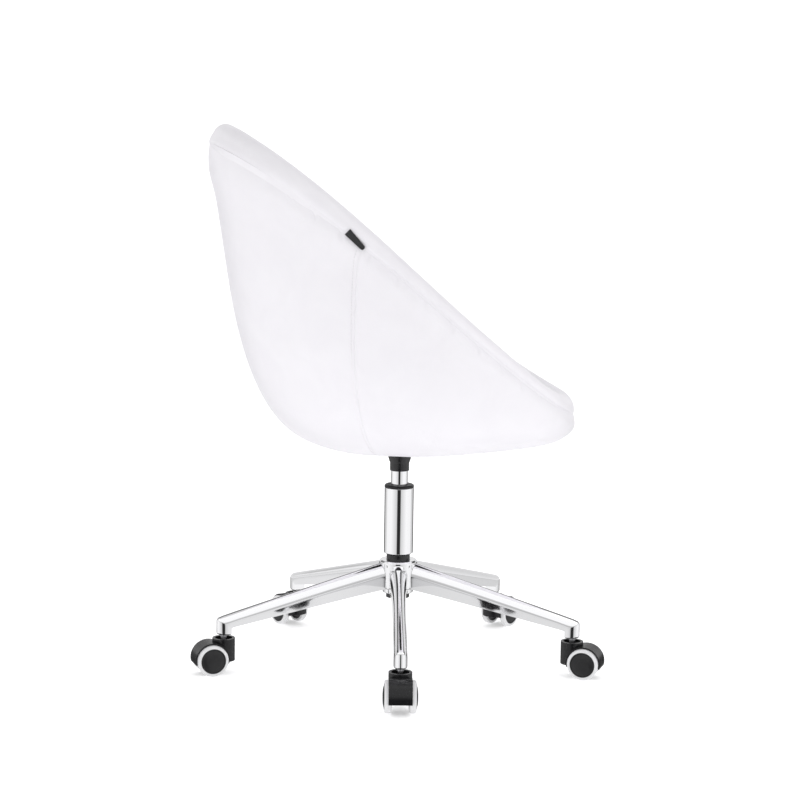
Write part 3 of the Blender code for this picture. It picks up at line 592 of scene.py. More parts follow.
def cover_relief(azimuth, below, radius, height):
    """How far the leather stands out, at a distance below the rim seam."""
    side = from_front(azimuth)
    nose = 1.0 - ramp(side, math.radians(14), math.radians(46))
    high_back = high_back_at(side)
    crisp = (1.0 - 0.9 * nose) * (1.0 - 0.85 * high_back)
    sunk = valley_at(side)
    far_back = ramp(side, math.radians(158), math.radians(176))
    calm = (1.0 - 0.85 * sunk) * (1.0 - 0.8 * far_back)
    groove = -0.0030 * crisp * calm * bell(below, 0.0028)
    groove -= 0.0040 * (1.0 - 0.8 * nose) * calm * bell(below, 0.0095)
    groove -= 0.0036 * sunk * bell(below, 0.024)
    plump = 0.0016 * bell(below - 0.024, 0.014) * (1.0 - high_back)
    bulge = 0.0050 * bell(below - 0.046, 0.030)
    drawn_in = 0.0026 * bell(below, 0.014) * (1.0 - 0.6 * sunk)
    tuck = (bulge - drawn_in) * high_back
    gather = bell(below - 0.0135, 0.0060) * ramp(side, math.radians(28), math.radians(44))
    gather *= 1.0 - ramp(side, math.radians(112), math.radians(135))
    phase = np.abs((side / PUCKER_STEP) % 1.0 - 0.5) * PUCKER_STEP * radius
    pucker = (0.0007 * bell(phase - 0.0055, 0.0040) - 0.0019 * bell(phase, 0.0030)) * gather
    off = (side - side_seam_at(below)) * radius
    fade = ramp(below, 0.004, 0.02) * (1.0 - ramp(radius, 0.16, 0.12))
    seam = (-0.0011 * bell(off, 0.0013) + 0.0003 * bell(np.abs(off) - 0.006, 0.004)) * fade
    drift = 0.0009 * np.sin(5.0 * azimuth + 9.0 * height) * np.sin(17.0 * height + 1.3 * azimuth)
    drift *= ramp(below, 0.03, 0.09)
    low_front = bell(side, math.radians(48)) * bell(height - 0.392, 0.012)
    pulls = -0.0005 * low_front * bell(np.sin(330.0 * height + 3.0 * side), 0.40)
    return groove + plump + tuck + pucker + seam + drift + pulls


# %% Sample the cover evenly below the seam
def fine_azimuths(base, extra):
    """Angles round the seat, with closer lines by the two side seams."""
    angles = list(np.arange(base) * math.tau / base)
    for side in (-SIDE_SEAM, SIDE_SEAM):
        for k in range(-extra, extra + 1):
            angles.append((side + k * math.radians(0.22)) % math.tau)
    return np.unique(np.round(np.sort(angles), 6))


def along_meridian(azimuth, near, rows):
    """Shares and distances below the seam: fixed steps near it, then even steps to the floor."""
    shares = np.linspace(0.0, 1.0, 400)
    picked, below = [], []
    for angle in azimuth:
        radius, height = meridian(np.full(400, angle), shares)
        points = in_space(radius, height, np.full(400, angle))
        steps = np.linalg.norm(np.diff(points, axis=0), axis=1)
        lengths = np.concatenate([[0.0], np.cumsum(steps)])
        depth = lengths[-1] - lengths
        wanted = np.concatenate([near, np.linspace(near[-1], depth[0], rows + 1)[1:]])
        picked.append(np.interp(-wanted, -depth, shares))
        below.append(wanted)
    return np.array(picked), np.array(below)


NEAR_SEAM = np.array([0.0, 0.8, 1.6, 2.6, 4.0, 6.0, 8.5, 11.5, 15.0, 19.0, 24.0, 30.0, 38.0]) * MM
cover_angles = fine_azimuths(700, 10)
cover_shares, cover_below = along_meridian(cover_angles, NEAR_SEAM, 66)
print("cover lines:", cover_shares.shape)


# %% [markdown]
# ## The leather cover
#
# The cover is a thin closed skin. Its outside carries all the relief, so it has many points.
# Its inside lies against the shell and is never seen, so a few rows are enough there. Rows of
# points run round the seat, and neighbouring rows are joined by faces like a rolled-up grid.


# %% Join rows of points into a closed skin
def closed_skin(name, rows):
    """Rows are arrays of points round the seat. The first and last are closed by a fan."""
    count = len(rows[0])
    points = np.concatenate([*rows, rows[0].mean(0)[None], rows[-1].mean(0)[None]])
    faces = []
    for k in range(len(rows) - 1):
        a, b = k * count, (k + 1) * count
        faces += [(a + i, a + (i + 1) % count, b + (i + 1) % count, b + i) for i in range(count)]
    first, last = len(rows) * count, len(rows) * count + 1
    end = (len(rows) - 1) * count
    faces += [(first, (i + 1) % count, i) for i in range(count)]
    faces += [(last, end + i, end + (i + 1) % count) for i in range(count)]
    return add_mesh(name, points, faces)


def cover_row(index, inset):
    """One row of the cover, moved in from its outer face by the inset."""
    angle = cover_angles
    share, below = cover_shares[:, index], cover_below[:, index]
    radius, height = meridian(angle, share)
    points = in_space(radius, height, angle)
    relief = cover_relief(angle, below, radius, height) if inset == 0.0 else -inset
    return points + outward(angle, share) * np.asarray(relief)[..., None]


COVER_WALL = 0.0022
row_count = cover_shares.shape[1]
whole_round = np.ones(len(cover_angles))
floor_middle = in_space(0.02 * whole_round, COVER_FOOT * whole_round, cover_angles)
outer_rows = [floor_middle] + [cover_row(k, 0.0) for k in range(row_count - 1, -1, -1)]
inner_rows = [cover_row(k, COVER_WALL) for k in range(0, row_count, 9)]
inner_rows.append(floor_middle + [0, 0, COVER_WALL])
leather_cover = closed_skin("leather_cover", outer_rows + inner_rows)
tidy(leather_cover, 60.0)
dress(leather_cover, white_leather, "seat", "outer_cover")
print("leather_cover:", len(leather_cover.data.polygons), "faces")

# %% [markdown]
# ## The padded liner and its rim roll
#
# One padded piece lines the bucket. It starts under the rim seam outside, swells into the roll
# that the arms rest on, dips at an inner seam, and runs down the inside to the floor. Upright
# channels are stitched through the foam at the sides and back, two gathers apart, and they
# fade out on their way down. Each channel is a groove with full cushions between.

# %% Liner relief and rows
CHANNEL_STEP = 2 * PUCKER_STEP
liner_angles = fine_azimuths(600, 3)


def channels(azimuth, drop):
    """Depth of the stitched channels on the inner face, at a distance below the roll."""
    side = from_front(azimuth)
    from_back = math.pi - side
    phase = np.abs((from_back / CHANNEL_STEP) % 1.0 - 0.5) * CHANNEL_STEP * 0.25
    reach = ramp(side, math.radians(58), math.radians(72))
    length = ramp(drop, 0.006, 0.030) * (1.0 - ramp(drop, 0.24 + 0.1 * reach, 0.40))
    return (0.0045 * bell(phase, 0.0045) - 0.0016 * bell(phase - 0.027, 0.016)) * reach * length


# Small wrinkles where the leather turns over the roll: (angle from the front, angle over the
# roll, half length, half width, tilt), angles in degrees and lengths in metres.
WRINKLES = (
    (-151.0, 62.0, 0.0085, 0.0016, 14.0),
    (-149.0, 50.0, 0.0060, 0.0014, 4.0),
    (-143.0, 22.0, 0.0030, 0.0018, 40.0),
    (-46.0, 74.0, 0.0070, 0.0017, -24.0),
    (-30.0, 64.0, 0.0060, 0.0016, -16.0),
    (-100.0, 98.0, 0.0065, 0.0016, 30.0),
    (148.0, 60.0, 0.0080, 0.0016, -12.0),
    (121.0, 80.0, 0.0060, 0.0016, 26.0),
    (64.0, 72.0, 0.0065, 0.0016, -30.0),
    (24.0, 70.0, 0.0060, 0.0016, 18.0),
    (172.0, 84.0, 0.0070, 0.0017, 8.0),
    (-172.0, 40.0, 0.0060, 0.0015, -20.0),
)


def wrinkled(azimuth, over):
    """Depth of the wrinkles at an angle over the roll."""
    depth = np.zeros_like(azimuth)
    for centre, turned, length, width, tilt in WRINKLES:
        along = ((azimuth - math.radians(centre) + math.pi) % math.tau - math.pi) * RIM_RADIUS
        across = (over - math.radians(turned)) * ROLL_HALF_WIDTH
        tilt = math.radians(tilt)
        bent = across - along * math.tan(tilt) - 18.0 * along**2
        depth -= 0.0011 * bell(along, length) * bell(bent, width)
        depth += 0.0004 * bell(along, length) * bell(bent - 2.4 * width, 1.6 * width)
    return depth


def roll_rows(steps):
    """Rows over the roll, from the rim seam outside to the inner seam."""
    side = from_front(liner_angles)
    high = blended(ROLL_HALF_HEIGHT, liner_angles)
    middle = roll_height(liner_angles)
    start = -np.arcsin((SEAM_DROP + 0.0010) / high)
    nose_lift = 0.0052 * bell(side, math.radians(19))
    nose_lift -= 0.0036 * bell(side - math.radians(41), math.radians(13))
    high_back = high_back_at(side)
    sunk = valley_at(side)
    rows = []
    for i in range(steps + 1):
        angle = start + (math.pi - start) * i / steps
        full = 1.0 + 0.010 * np.sin(angle) * np.sin(7 * liner_angles + 1.0)
        full += wrinkled(liner_angles, angle) / ROLL_HALF_WIDTH
        radius = RIM_RADIUS - ROLL_HALF_WIDTH * (1.0 - full * np.cos(angle))
        radius -= 0.0052 * high_back * (0.5 + 0.5 * np.cos(angle)) * ramp(angle, -0.3, 0.5)
        radius -= 0.0014 * high_back * (0.5 + 0.5 * np.cos(angle))
        radius -= 0.0014 * sunk * bell(angle - start, 0.85)
        height = middle + full * high * np.sin(angle) + nose_lift * np.maximum(0.0, np.sin(angle))
        rows.append(in_space(radius, height, liner_angles))
    return rows


def inner_wall(steps):
    """Rows down the liner's inside, from the roll to the floor's edge."""
    floor = COVER_FOOT + LAYER + LINER_FLOOR
    top_x, top_z = RIM_RADIUS - 2 * ROLL_HALF_WIDTH, roll_height(liner_angles)
    rows = []
    for i in range(steps + 1):
        t = (i / steps) ** 1.15
        s = 1.0 - t
        radius = s * s * top_x + 2 * s * t * top_x + t * t * LINER_CORNER
        handle_z = floor + 0.35 * (top_z - floor)
        height = s * s * top_z + 2 * s * t * handle_z + t * t * floor
        drop = top_z - height
        dip = 0.0034 * bell(drop - 0.004, 0.0035)
        radius = radius + dip + channels(liner_angles, drop)
        rows.append(in_space(radius, height, liner_angles))
    return rows


def liner_back(rows):
    """Rows up the hidden side of the liner, against the shell."""
    made = []
    for share in np.linspace(0.0, 1.0, rows):
        shares = np.full(len(liner_angles), share)
        points = in_space(*meridian(liner_angles, shares), liner_angles)
        made.append(points - outward(liner_angles, shares) * LAYER)
    return made


hidden = liner_back(14)
hidden[-1][:, 2] = roll_height(liner_angles) - SEAM_DROP + 0.0006
whole_round = np.ones(len(liner_angles))
under = in_space(0.02 * whole_round, (COVER_FOOT + LAYER) * whole_round, liner_angles)
wall_rows = inner_wall(84)
floor_in = wall_rows[-1] * 0.3 + wall_rows[-1].mean(0) * 0.7
liner_rows = [under] + hidden + roll_rows(40) + wall_rows[1:] + [floor_in]
padded_liner = closed_skin("padded_liner", liner_rows)
tidy(padded_liner, 75.0)
dress(padded_liner, seat_leather, "seat", "inner_liner")
print("padded_liner:", len(padded_liner.data.polygons), "faces")

# %% [markdown]
# ## The seat cushion
#
# A cushion is not modelled puffed up. It is made a little slack and then blown up like the real
# one: the Cloth simulation pushes the skin outwards with a small pressure. The remesh before it
# gives even faces, which the simulation needs. Each point may move only a little way, so that
# the cushion stays clear of the liner round it.

# %% Slack shape of the cushion
PAD_GAP = 0.0062
SEAT_TOP = 0.4560


def wall_radius(azimuth, height):
    """The liner's inner radius at a height."""
    floor = COVER_FOOT + LAYER + LINER_FLOOR
    top_x, top_z = RIM_RADIUS - 2 * ROLL_HALF_WIDTH, roll_height(azimuth)
    t = np.linspace(1.0, 0.0, 60)
    found = []
    for rim_z in np.atleast_1d(top_z):
        handle_z = floor + 0.35 * (rim_z - floor)
        radius = (1 - t) ** 2 * top_x + 2 * (1 - t) * t * top_x + t * t * LINER_CORNER
        heights = (1 - t) ** 2 * rim_z + 2 * (1 - t) * t * handle_z + t * t * floor
        found.append(np.interp(height, heights, radius))
    return np.array(found)


def cushion_rows(around):
    angle = np.arange(around) * math.tau / around
    foot = COVER_FOOT + LAYER + LINER_FLOOR + 0.0022
    sections = [(foot, 0.020), (foot + 0.004, 0.010), (foot + 0.012, 0.003), (foot + 0.024, 0.0)]
    sections += [(SEAT_TOP - 0.024, 0.0), (SEAT_TOP - 0.014, 0.003)]
    sections += [(SEAT_TOP - 0.009, 0.011), (SEAT_TOP - 0.007, 0.030)]
    rows = []
    for height, pull in sections:
        radius = wall_radius(angle, min(height, SEAT_TOP - 0.024)) - PAD_GAP - pull
        rows.append(in_space(radius, np.full(around, height), angle))
    top = rows[-1]
    for share, rise in ((0.75, 0.0005), (0.5, 0.0012), (0.25, 0.0018)):
        row = top * share + top.mean(0) * (1.0 - share)
        row[:, 2] = SEAT_TOP - 0.007 + rise
        rows.append(row)
    return rows


def inflate(piece, voxel, pressure, cap):
    """Blow the slack piece up with Cloth, holding each point within the cap of its start."""
    apply_modifier(piece, "REMESH", mode="VOXEL", voxel_size=voxel)
    start = np.empty(len(piece.data.vertices) * 3)
    piece.data.vertices.foreach_get("co", start)
    cloth = piece.modifiers.new("cloth", "CLOTH")
    cloth.settings.use_pressure = True
    cloth.settings.uniform_pressure_force = pressure
    cloth.settings.effector_weights.gravity = 0.0
    cloth.settings.tension_stiffness = 20.0
    cloth.settings.compression_stiffness = 20.0
    cloth.settings.bending_stiffness = 2.0
    scene = bpy.context.scene
    for number in range(1, 21):
        scene.frame_set(number)
    pick(piece)
    bpy.ops.object.modifier_apply(modifier=cloth.name)
    scene.frame_set(1)
    moved = np.empty_like(start)
    piece.data.vertices.foreach_get("co", moved)
    shift = (moved - start).reshape(-1, 3)
    length = np.linalg.norm(shift, axis=1, keepdims=True)
    limit = cap * np.where(shift[:, 2:3] > 0.5 * length, 1.0, 0.35)
    shift *= np.minimum(1.0, limit / np.maximum(length, 1e-9))
    piece.data.vertices.foreach_set("co", start + shift.ravel())
    piece.data.update()
    print(f"{piece.name}: moved up to {1000 * min(cap, float(length.max())):.1f} mm")
    return piece


seat_pad = closed_skin("seat_pad", cushion_rows(96))
tidy(seat_pad, 80.0)
inflate(seat_pad, 0.005, 4.0, 0.009)
apply_modifier(seat_pad, "SUBSURF", levels=1, render_levels=1)

# %% [markdown]
# The cushion's seam comes after the simulation, because the remesh would have erased it. A
# piped seam runs round the top edge. The skin is drawn in along that line, and a round cord
# covered in the same leather lies in the dip.

# %% Seam and piping of the cushion
PIPING_RADIUS = 0.0026
PIPING_HEIGHT = SEAT_TOP - 0.0125


def draw_in(piece, height, depth, width):
    """Pull the skin in towards the middle along a level line."""
    points = np.empty(len(piece.data.vertices) * 3)
    piece.data.vertices.foreach_get("co", points)
    points = points.reshape(-1, 3)
    middle = np.array([axis.x, axis.y])
    out = points[:, :2] - middle
    reach = np.linalg.norm(out, axis=1, keepdims=True)
    edge = ramp(reach, 0.12, 0.16)
    pull = depth * bell(points[:, 2:3] - height, width) * edge
    points[:, :2] -= out / np.maximum(reach, 1e-6) * pull
    piece.data.vertices.foreach_set("co", points.ravel())
    piece.data.update()


def skin_radius(piece, height, around):
    """Where the skin is, at a height, along rays from the swivel line."""
    graph = bpy.context.evaluated_depsgraph_get()
    found = []
    for k in range(around):
        angle = k * math.tau / around
        ray = Vector((math.sin(angle), -math.cos(angle), 0.0))
        start = Vector((axis.x, axis.y, height)) + ray * 0.5
        hit, where, _, _ = piece.evaluated_get(graph).ray_cast(start, -ray)
        found.append(where if hit else start - ray * 0.3)
    return found


draw_in(seat_pad, PIPING_HEIGHT, 0.0022, 0.0035)
pick(seat_pad)
bpy.ops.object.shade_smooth()
dress(seat_pad, seat_leather, "seat", "seat_cushion")


def tube_along(name, points, radius, sides=10, closed=True):
    """A round cord through points, made from a bevelled curve and turned into a mesh."""
    curve = bpy.data.curves.new(name, "CURVE")
    curve.dimensions = "3D"
    curve.bevel_depth = radius
    curve.bevel_resolution = max(1, sides // 4)
    spline = curve.splines.new("POLY")
    spline.points.add(len(points) - 1)
    for target, point in zip(spline.points, points):
        target.co = (*point, 1.0)
    spline.use_cyclic_u = closed
    curve.use_fill_caps = not closed
    piece = bpy.data.objects.new(name, curve)
    bpy.context.scene.collection.objects.link(piece)
    pick(piece)
    bpy.ops.object.convert(target="MESH")
    return tidy(bpy.context.view_layer.objects.active, 80.0)


piping_line = skin_radius(seat_pad, PIPING_HEIGHT, 180)
piping = tube_along("cushion_piping", piping_line, PIPING_RADIUS)
dress(piping, white_leather, "seat", None)
print("cushion_piping:", len(piping.data.polygons), "faces")

# %% [markdown]
# ## Stitches
#
# A row of stitches is one short thread repeated. Each one is a low, round-ended bead with few
# faces, set down along the seam with its ends pressed into the leather. All beads of a row are
# one mesh, because hundreds of objects would be slow to handle.

# %% Lay stitches along a line


def bead_shape(length, width):
    """Points and faces of one stitch along X: a six-sided bead with pinched ends."""
    stations = (
        (-0.5, 0.0, -0.35), (-0.34, 0.8, 0.05), (0.0, 1.0, 0.25), (0.34, 0.8, 0.05), (0.5, 0.0, -0.35),
    )
    points, faces, rings = [], [], []
    for along, size, lift in stations:
        ring = []
        for k in range(6 if size else 1):
            angle = k * math.tau / 6
            y = size * math.cos(angle) * width / 2
            z = size * math.sin(angle) * width / 2 + lift * width
            ring.append(len(points))
            points.append((along * length, y, z))
        rings.append(ring)
    for one, two in zip(rings, rings[1:]):
        for k in range(6):
            corners = [one[k % len(one)], one[(k + 1) % len(one)]]
            corners += [two[(k + 1) % len(two)], two[k % len(two)]]
            faces.append(tuple(dict.fromkeys(corners)))
    return np.array(points), faces


def lay_stitches(name, line, normals, length=0.0032, gap=0.0016, width=0.0009):
    """Stitches along a line of points, standing on the surface that the normals belong to."""
    line, normals = np.asarray(line, float), np.asarray(normals, float)
    steps = np.linalg.norm(np.diff(line, axis=0), axis=1)
    reach = np.concatenate([[0.0], np.cumsum(steps)])
    count = int(reach[-1] / (length + gap))
    bead, bead_faces = bead_shape(length, width)
    points, faces = [], []
    for k in range(count):
        centre = (k + 0.5) * (length + gap)
        at = np.array([np.interp(centre, reach, line[:, c]) for c in range(3)])
        ahead = np.array([np.interp(centre + 0.001, reach, line[:, c]) for c in range(3)])
        up = np.array([np.interp(centre, reach, normals[:, c]) for c in range(3)])
        x = (ahead - at) / (np.linalg.norm(ahead - at) + 1e-12)
        z = up - x * up.dot(x)
        z /= np.linalg.norm(z)
        y = np.cross(z, x)
        base = len(points) * len(bead)
        points.append(at + bead @ np.array([x, y, z]))
        faces += [tuple(base + i for i in face) for face in bead_faces]
    piece = add_mesh(name, np.concatenate(points), faces)
    tidy(piece, 80.0, 0.000001)
    return piece


thread, tree, shader = new_finish("pale_thread", (0.80, 0.785, 0.81), 0.6)
twist = add_node(tree, "ShaderNodeTexWave", [("Scale", 900.0), ("Distortion", 1.0)])
tree.links.new(add_node(tree, "ShaderNodeTexCoord").outputs["Object"], twist.inputs["Vector"])
bumped(tree, shader, twist.outputs["Fac"], 0.00006, 0.6)
two_tone(tree, shader, twist.outputs["Fac"], (0.76, 0.745, 0.77), (0.82, 0.805, 0.83))

STITCH_ASIDE = 0.0052  # from the seam to its row of stitches
SIDE_RADIUS = 0.29
for sign, hand in ((-1.0, "right"), (1.0, "left")):
    below = np.linspace(0.016, 0.42, 260)
    share_grid = np.linspace(0.0, 1.0, 400)
    angle = sign * (side_seam_at(below) + STITCH_ASIDE / SIDE_RADIUS)
    middle_angle = np.full(400, sign * SIDE_SEAM)
    profile = in_space(*meridian(middle_angle, share_grid), middle_angle)
    depth = np.concatenate([[0.0], np.cumsum(np.linalg.norm(np.diff(profile, axis=0), axis=1))])
    depth = depth[-1] - depth
    shares = np.interp(-below, -depth, share_grid)
    keep = below < depth[0] - 0.03
    angle, shares, below = angle[keep], shares[keep], below[keep]
    radius, height = meridian(angle, shares)
    square = outward(angle, shares)
    lift = cover_relief(angle, below, radius, height) + 0.0002
    lifted = in_space(radius, height, angle) + square * lift[:, None]
    row = lay_stitches(f"side_stitches_{hand}", lifted, square)
    dress(row, thread, "seat", None)

# %% Stitches beside the inner rim seam
seam_angles = np.linspace(0.0, math.tau, 720)
seam_high = blended(ROLL_HALF_HEIGHT, seam_angles)
seam_phi = math.radians(166.0)
seam_radius = RIM_RADIUS - ROLL_HALF_WIDTH * (1.0 - np.cos(seam_phi)) + 0.0 * seam_angles
seam_height = roll_height(seam_angles) + seam_high * math.sin(seam_phi)
seam_line = in_space(seam_radius, seam_height, seam_angles)
seam_up = np.stack([-np.sin(seam_angles), np.cos(seam_angles), np.full(720, 0.35)], -1)
rim_stitches = lay_stitches("inner_rim_stitches", seam_line, seam_up, 0.0036, 0.0020)
dress(rim_stitches, thread, "seat", None)
print("inner_rim_stitches:", len(rim_stitches.data.polygons), "faces")

# %% [markdown]
# ## The tag
#
# A folded black ribbon is caught in the rim seam on the sitter's right. It is wider where it is
# sewn in and narrower at its tip, and it lies along the seam. A ribbon is woven, so its finish
# is a fine basket pattern, and it stays blank.

# %% Ribbon tag


RIBBON_SECTION = (
    (-1, 0), (-0.92, 0.5), (0, 0.62), (0.92, 0.5), (1, 0), (0.92, -0.5), (0, -0.5), (-0.92, -0.5),
)


def ribbon_tag():
    low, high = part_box("side_tag")
    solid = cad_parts["side_tag"].data
    corners = np.array([v.co[:] for v in solid.vertices])
    corners = np.unique(np.round(corners, 5), axis=0)
    centre = corners.mean(0)
    _, _, directions = np.linalg.svd(corners - centre)
    along, across, out = directions
    if out[0] > 0:
        out = -out
    if along[2] < 0:
        along = -along
    across = np.cross(out, along)
    spans = (corners - centre) @ np.stack([along, across, out], 1)
    half = 0.95 * spans[:, 0].max()
    root = np.abs(spans[spans[:, 0] > 0][:, 1]).max()
    tip = np.abs(spans[spans[:, 0] < 0][:, 1]).max()
    lean = math.radians(-8.5)
    cosine, sine = math.cos(lean), math.sin(lean)
    along, across = along * cosine + across * sine, across * cosine - along * sine
    steps, rings = 24, []
    for k in range(steps + 1):
        share = k / steps
        x = half - 2 * half * share
        width = root + (tip - root) * share
        if share > 0.9:
            width *= math.sqrt(max(0.0, 1.0 - ((share - 0.9) / 0.1) ** 2 * 0.6))
        bow = 0.0009 * math.sin(math.pi * share) + 0.0004 * math.sin(3 * math.pi * share)
        ring = []
        for y, z in RIBBON_SECTION:
            ring.append(centre + along * x + across * (y * width) + out * (z * 0.0009 + bow))
        rings.append(np.array(ring))
    return closed_skin("ribbon_tag", rings)


tag = tidy(ribbon_tag(), 50.0)
ribbon, tree, shader = new_finish("black_ribbon", (0.014, 0.014, 0.015), 0.75, Sheen_Weight=0.3)
weave_place = add_node(tree, "ShaderNodeTexCoord").outputs["Object"]
weave_links = [("Vector", weave_place), ("Scale", 700.0)]
warp = add_node(tree, "ShaderNodeTexWave", weave_links, bands_direction="Y")
weft = add_node(tree, "ShaderNodeTexWave", weave_links, bands_direction="Z")
weave = maths(tree, "MULTIPLY", warp.outputs["Fac"], weft.outputs["Fac"])
two_tone(tree, shader, weave, (0.010, 0.010, 0.011), (0.035, 0.035, 0.038))
bumped(tree, shader, weave, 0.0001, 0.8)
dress(tag, ribbon, "seat", "side_tag")
print("ribbon_tag:", len(tag.data.polygons), "faces")

# %% [markdown]
# ## The column
#
# From the top down: a black cone that grips the gas cylinder, the bright cylinder itself, a
# black bush, and the chromed outer tube with a shoulder where it narrows into the hub. Below the
# shoulder the tube's neck is coloured black, as painted shade between the tube and the hub. Every
# edge gets a small rounding, because the line of light on a rounded edge is what makes turned
# metal look real.

# %% Turned pieces of the column


def on_axis(piece, body, node, material):
    place(piece, to_axis)
    tidy(piece, 40.0, flats=True)
    return dress(piece, material, body, node)


tube_low, tube_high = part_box("lift_column")
tube_radius = (tube_high.x - tube_low.x) / 2 / math.cos(math.pi / 64)
tube_outline = [
    (0.0053, 0.1090), (0.0195, 0.1090), (0.0195, 0.1820), (tube_radius, 0.1850), (tube_radius, 0.2950),
    (0.0225, 0.2950), (0.0225, 0.1860), (0.0175, 0.1820), (0.0175, 0.1120), (0.0053, 0.1120),
]
column = spun("column_tube", tube_outline, 96, 0.0006, sleeve=True)
on_axis(column, "base", "lift_column", column_chrome)
# The neck below the shoulder is coloured black: painted shade for the dark band between the chromed tube
# and the hub.
column.data.materials.append(black_paint_and_painted_shade)
for face in column.data.polygons:
    face.material_index = int(face.center.z < 0.1836)

bush_outline = [
    (0.0143, 0.2150), (0.0222, 0.2150), (0.0222, 0.2953), (tube_radius, 0.2953), (tube_radius, 0.2985),
    (tube_radius - 0.0015, 0.3000), (0.0150, 0.3000), (0.0143, 0.2992),
]
bush = spun("top_bush", bush_outline, 80, 0.0003, sleeve=True)
on_axis(bush, "base", "column_bush", black_satin)

cylinder_outline = [
    (0.0053, 0.1290), (0.0140, 0.1290), (0.0140, 0.3455), (0.0130, 0.3475), (0.0038, 0.3475),
    (0.0038, 0.3340), (0.0, 0.3340),
]
bore_outline = [(0.0, 0.3295), (0.0112, 0.3295), (0.0112, 0.1370), (0.0053, 0.1370)]
gas_tube = spun("gas_tube", bore_outline + cylinder_outline, 80, 0.0003)
on_axis(gas_tube, "seat", "gas_cylinder", column_chrome)

# %% The hub, with its turned rings
hub_outline = [
    (0.0198, 0.1730), (0.0198, 0.1170), (0.0240, 0.1170), (0.0255, 0.1185), (0.0255, 0.1260),
    (0.0300, 0.1260), (0.0315, 0.1275), (0.0315, 0.1640), (0.0322, 0.1665), (0.0322, 0.1705),
    (0.0300, 0.1730),
]
hub = spun("hub_drum", hub_outline, 96, 0.0005, sleeve=True)
on_axis(hub, "base", "base_hub", chrome)

# %% [markdown]
# The cone under the seat is slotted for the release lever, so it is turned first and then cut
# with a small box, as the real one is milled.

# %% Slotted cone under the seat
cone_outline = [
    (0.0143, 0.3235), (0.0160, 0.3235), (0.0160, 0.3370), (0.0172, 0.3392), (0.0235, 0.3615),
    (0.0235, 0.3617),
    (0.0180, 0.3617), (0.0180, 0.3481), (0.0143, 0.3481),
]
cone = spun("lever_cone", cone_outline, 80, 0.0004, sleeve=True)
bpy.ops.object.select_all(action="DESELECT")
bpy.ops.mesh.primitive_cube_add(size=1.0, location=(0.022, 0.0, 0.3575))
slot_cutter = bpy.context.object
slot_cutter.scale = (0.018, 0.0086, 0.0140)
combine(cone, slot_cutter)
on_axis(cone, "seat", "plate_socket", black_paint_and_painted_shade)
print("column pieces made")

# %% [markdown]
# ## The arms
#
# An arm is pressed from sheet: flat upright sides, a rounded back, and an open underside. It is
# wide at the hub, narrows quickly, and turns down at its end into a socket for the caster's
# stem. Its sections are joined like the ribs of a hull, then the hollow and the stem's hole are
# cut out. One arm is made on the X axis, and four copies are turned round the hub.

# %% One arm


def upright_cylinder(radius, low, high, sides, x=0.0):
    bpy.ops.object.select_all(action="DESELECT")
    bpy.ops.mesh.primitive_cylinder_add(
        vertices=sides, radius=radius, depth=high - low, location=(x, 0.0, (low + high) / 2)
    )
    return bpy.context.object


ARM_WALL = 0.0020
HUB_RADIUS = 0.0315
ARM_HALF_WIDTH = 0.0110
ARM_ROOT, ARM_INSIDE, ARM_OUTSIDE = 0.0158, 0.289, 0.312
ROOT_TOP, TIP_TOP, ROOT_FOOT, KNEE = 0.1680, 0.0925, 0.1250, 0.0765
SOCKET_FOOT = 0.0645


def arm_section(foot, top, half_width, flat, steps=28):
    """Points round a section: up one flat side, over the rounded back, and down the other."""
    foot, top = np.array(foot), np.array(top)
    side = np.array([0.0, half_width, 0.0])
    ring = [foot + side * 0.96]
    for i in range(steps + 1):
        angle = math.pi * i / steps
        height = flat + (1.0 - flat) * math.sin(angle) ** 0.9
        ring.append(foot + (top - foot) * height + side * math.cos(angle))
    ring.append(foot - side * 0.96)
    return np.array(ring)


def arm_stations(first, last, count, wall=0.0, extra=0.0):
    rings = []
    for k in range(count):
        x = first + (last - first) * k / (count - 1)
        out = (x - HUB_RADIUS) / (ARM_INSIDE - HUB_RADIUS)
        foot = ROOT_FOOT + out * (KNEE - ROOT_FOOT) - extra
        along = (x - HUB_RADIUS) / (ARM_OUTSIDE - HUB_RADIUS)
        top = ROOT_TOP + along * (TIP_TOP - ROOT_TOP) - wall
        narrowing = 0.0045 * math.exp(-max(x - HUB_RADIUS, -0.015) / 0.040)
        width = ARM_HALF_WIDTH + narrowing - wall
        rings.append(arm_section((x, 0, foot), (x, 0, top), width, 0.42 - 0.12 * out))
    return rings


def level_section(height, inset, outer_inset):
    foot = (ARM_INSIDE + inset, 0, height)
    top = (ARM_OUTSIDE - outer_inset, 0, height)
    return arm_section(foot, top, ARM_HALF_WIDTH - inset, 0.25)


def make_arm():
    rings = arm_stations(ARM_ROOT, 0.276, 16)
    # The elbow: (back of the foot, rise of the foot, back of the top, rise of the top, flat share)
    for foot_in, foot_up, top_in, top_up, flat in (
        (0.004, 0.0006, 0.010, 0.0024, 0.28),
        (0.0, -0.0005, 0.0022, -0.0006, 0.25),
        (0.0, -0.0020, 0.0, -0.0045, 0.25),
    ):
        foot = (ARM_INSIDE - foot_in, 0, KNEE + foot_up)
        top = (ARM_OUTSIDE - top_in, 0, TIP_TOP + top_up)
        rings.append(arm_section(foot, top, ARM_HALF_WIDTH, flat))
    rings.append(level_section(SOCKET_FOOT + 0.0034, 0.0, 0.0))
    for k in range(1, 6):
        angle = k / 5 * math.pi / 2
        drop, inset = 0.0034 * math.sin(angle), 0.0034 * (1.0 - math.cos(angle))
        rings.append(level_section(SOCKET_FOOT + 0.0034 - drop, 0.5 * inset, inset))
    arm = closed_skin("base_arm", rings)
    tidy(arm, 30.0)
    hollow_rings = arm_stations(ARM_ROOT - 0.01, ARM_INSIDE - 0.004, 12, ARM_WALL, 0.02)
    combine(arm, tidy(closed_skin("hollow", hollow_rings)))
    for radius, height, x in ((0.0318, 0.5, 0.0), (0.0053, 0.1666, stem_circle)):
        combine(arm, upright_cylinder(radius, -height / 2, height / 2, 64, x))
    return arm


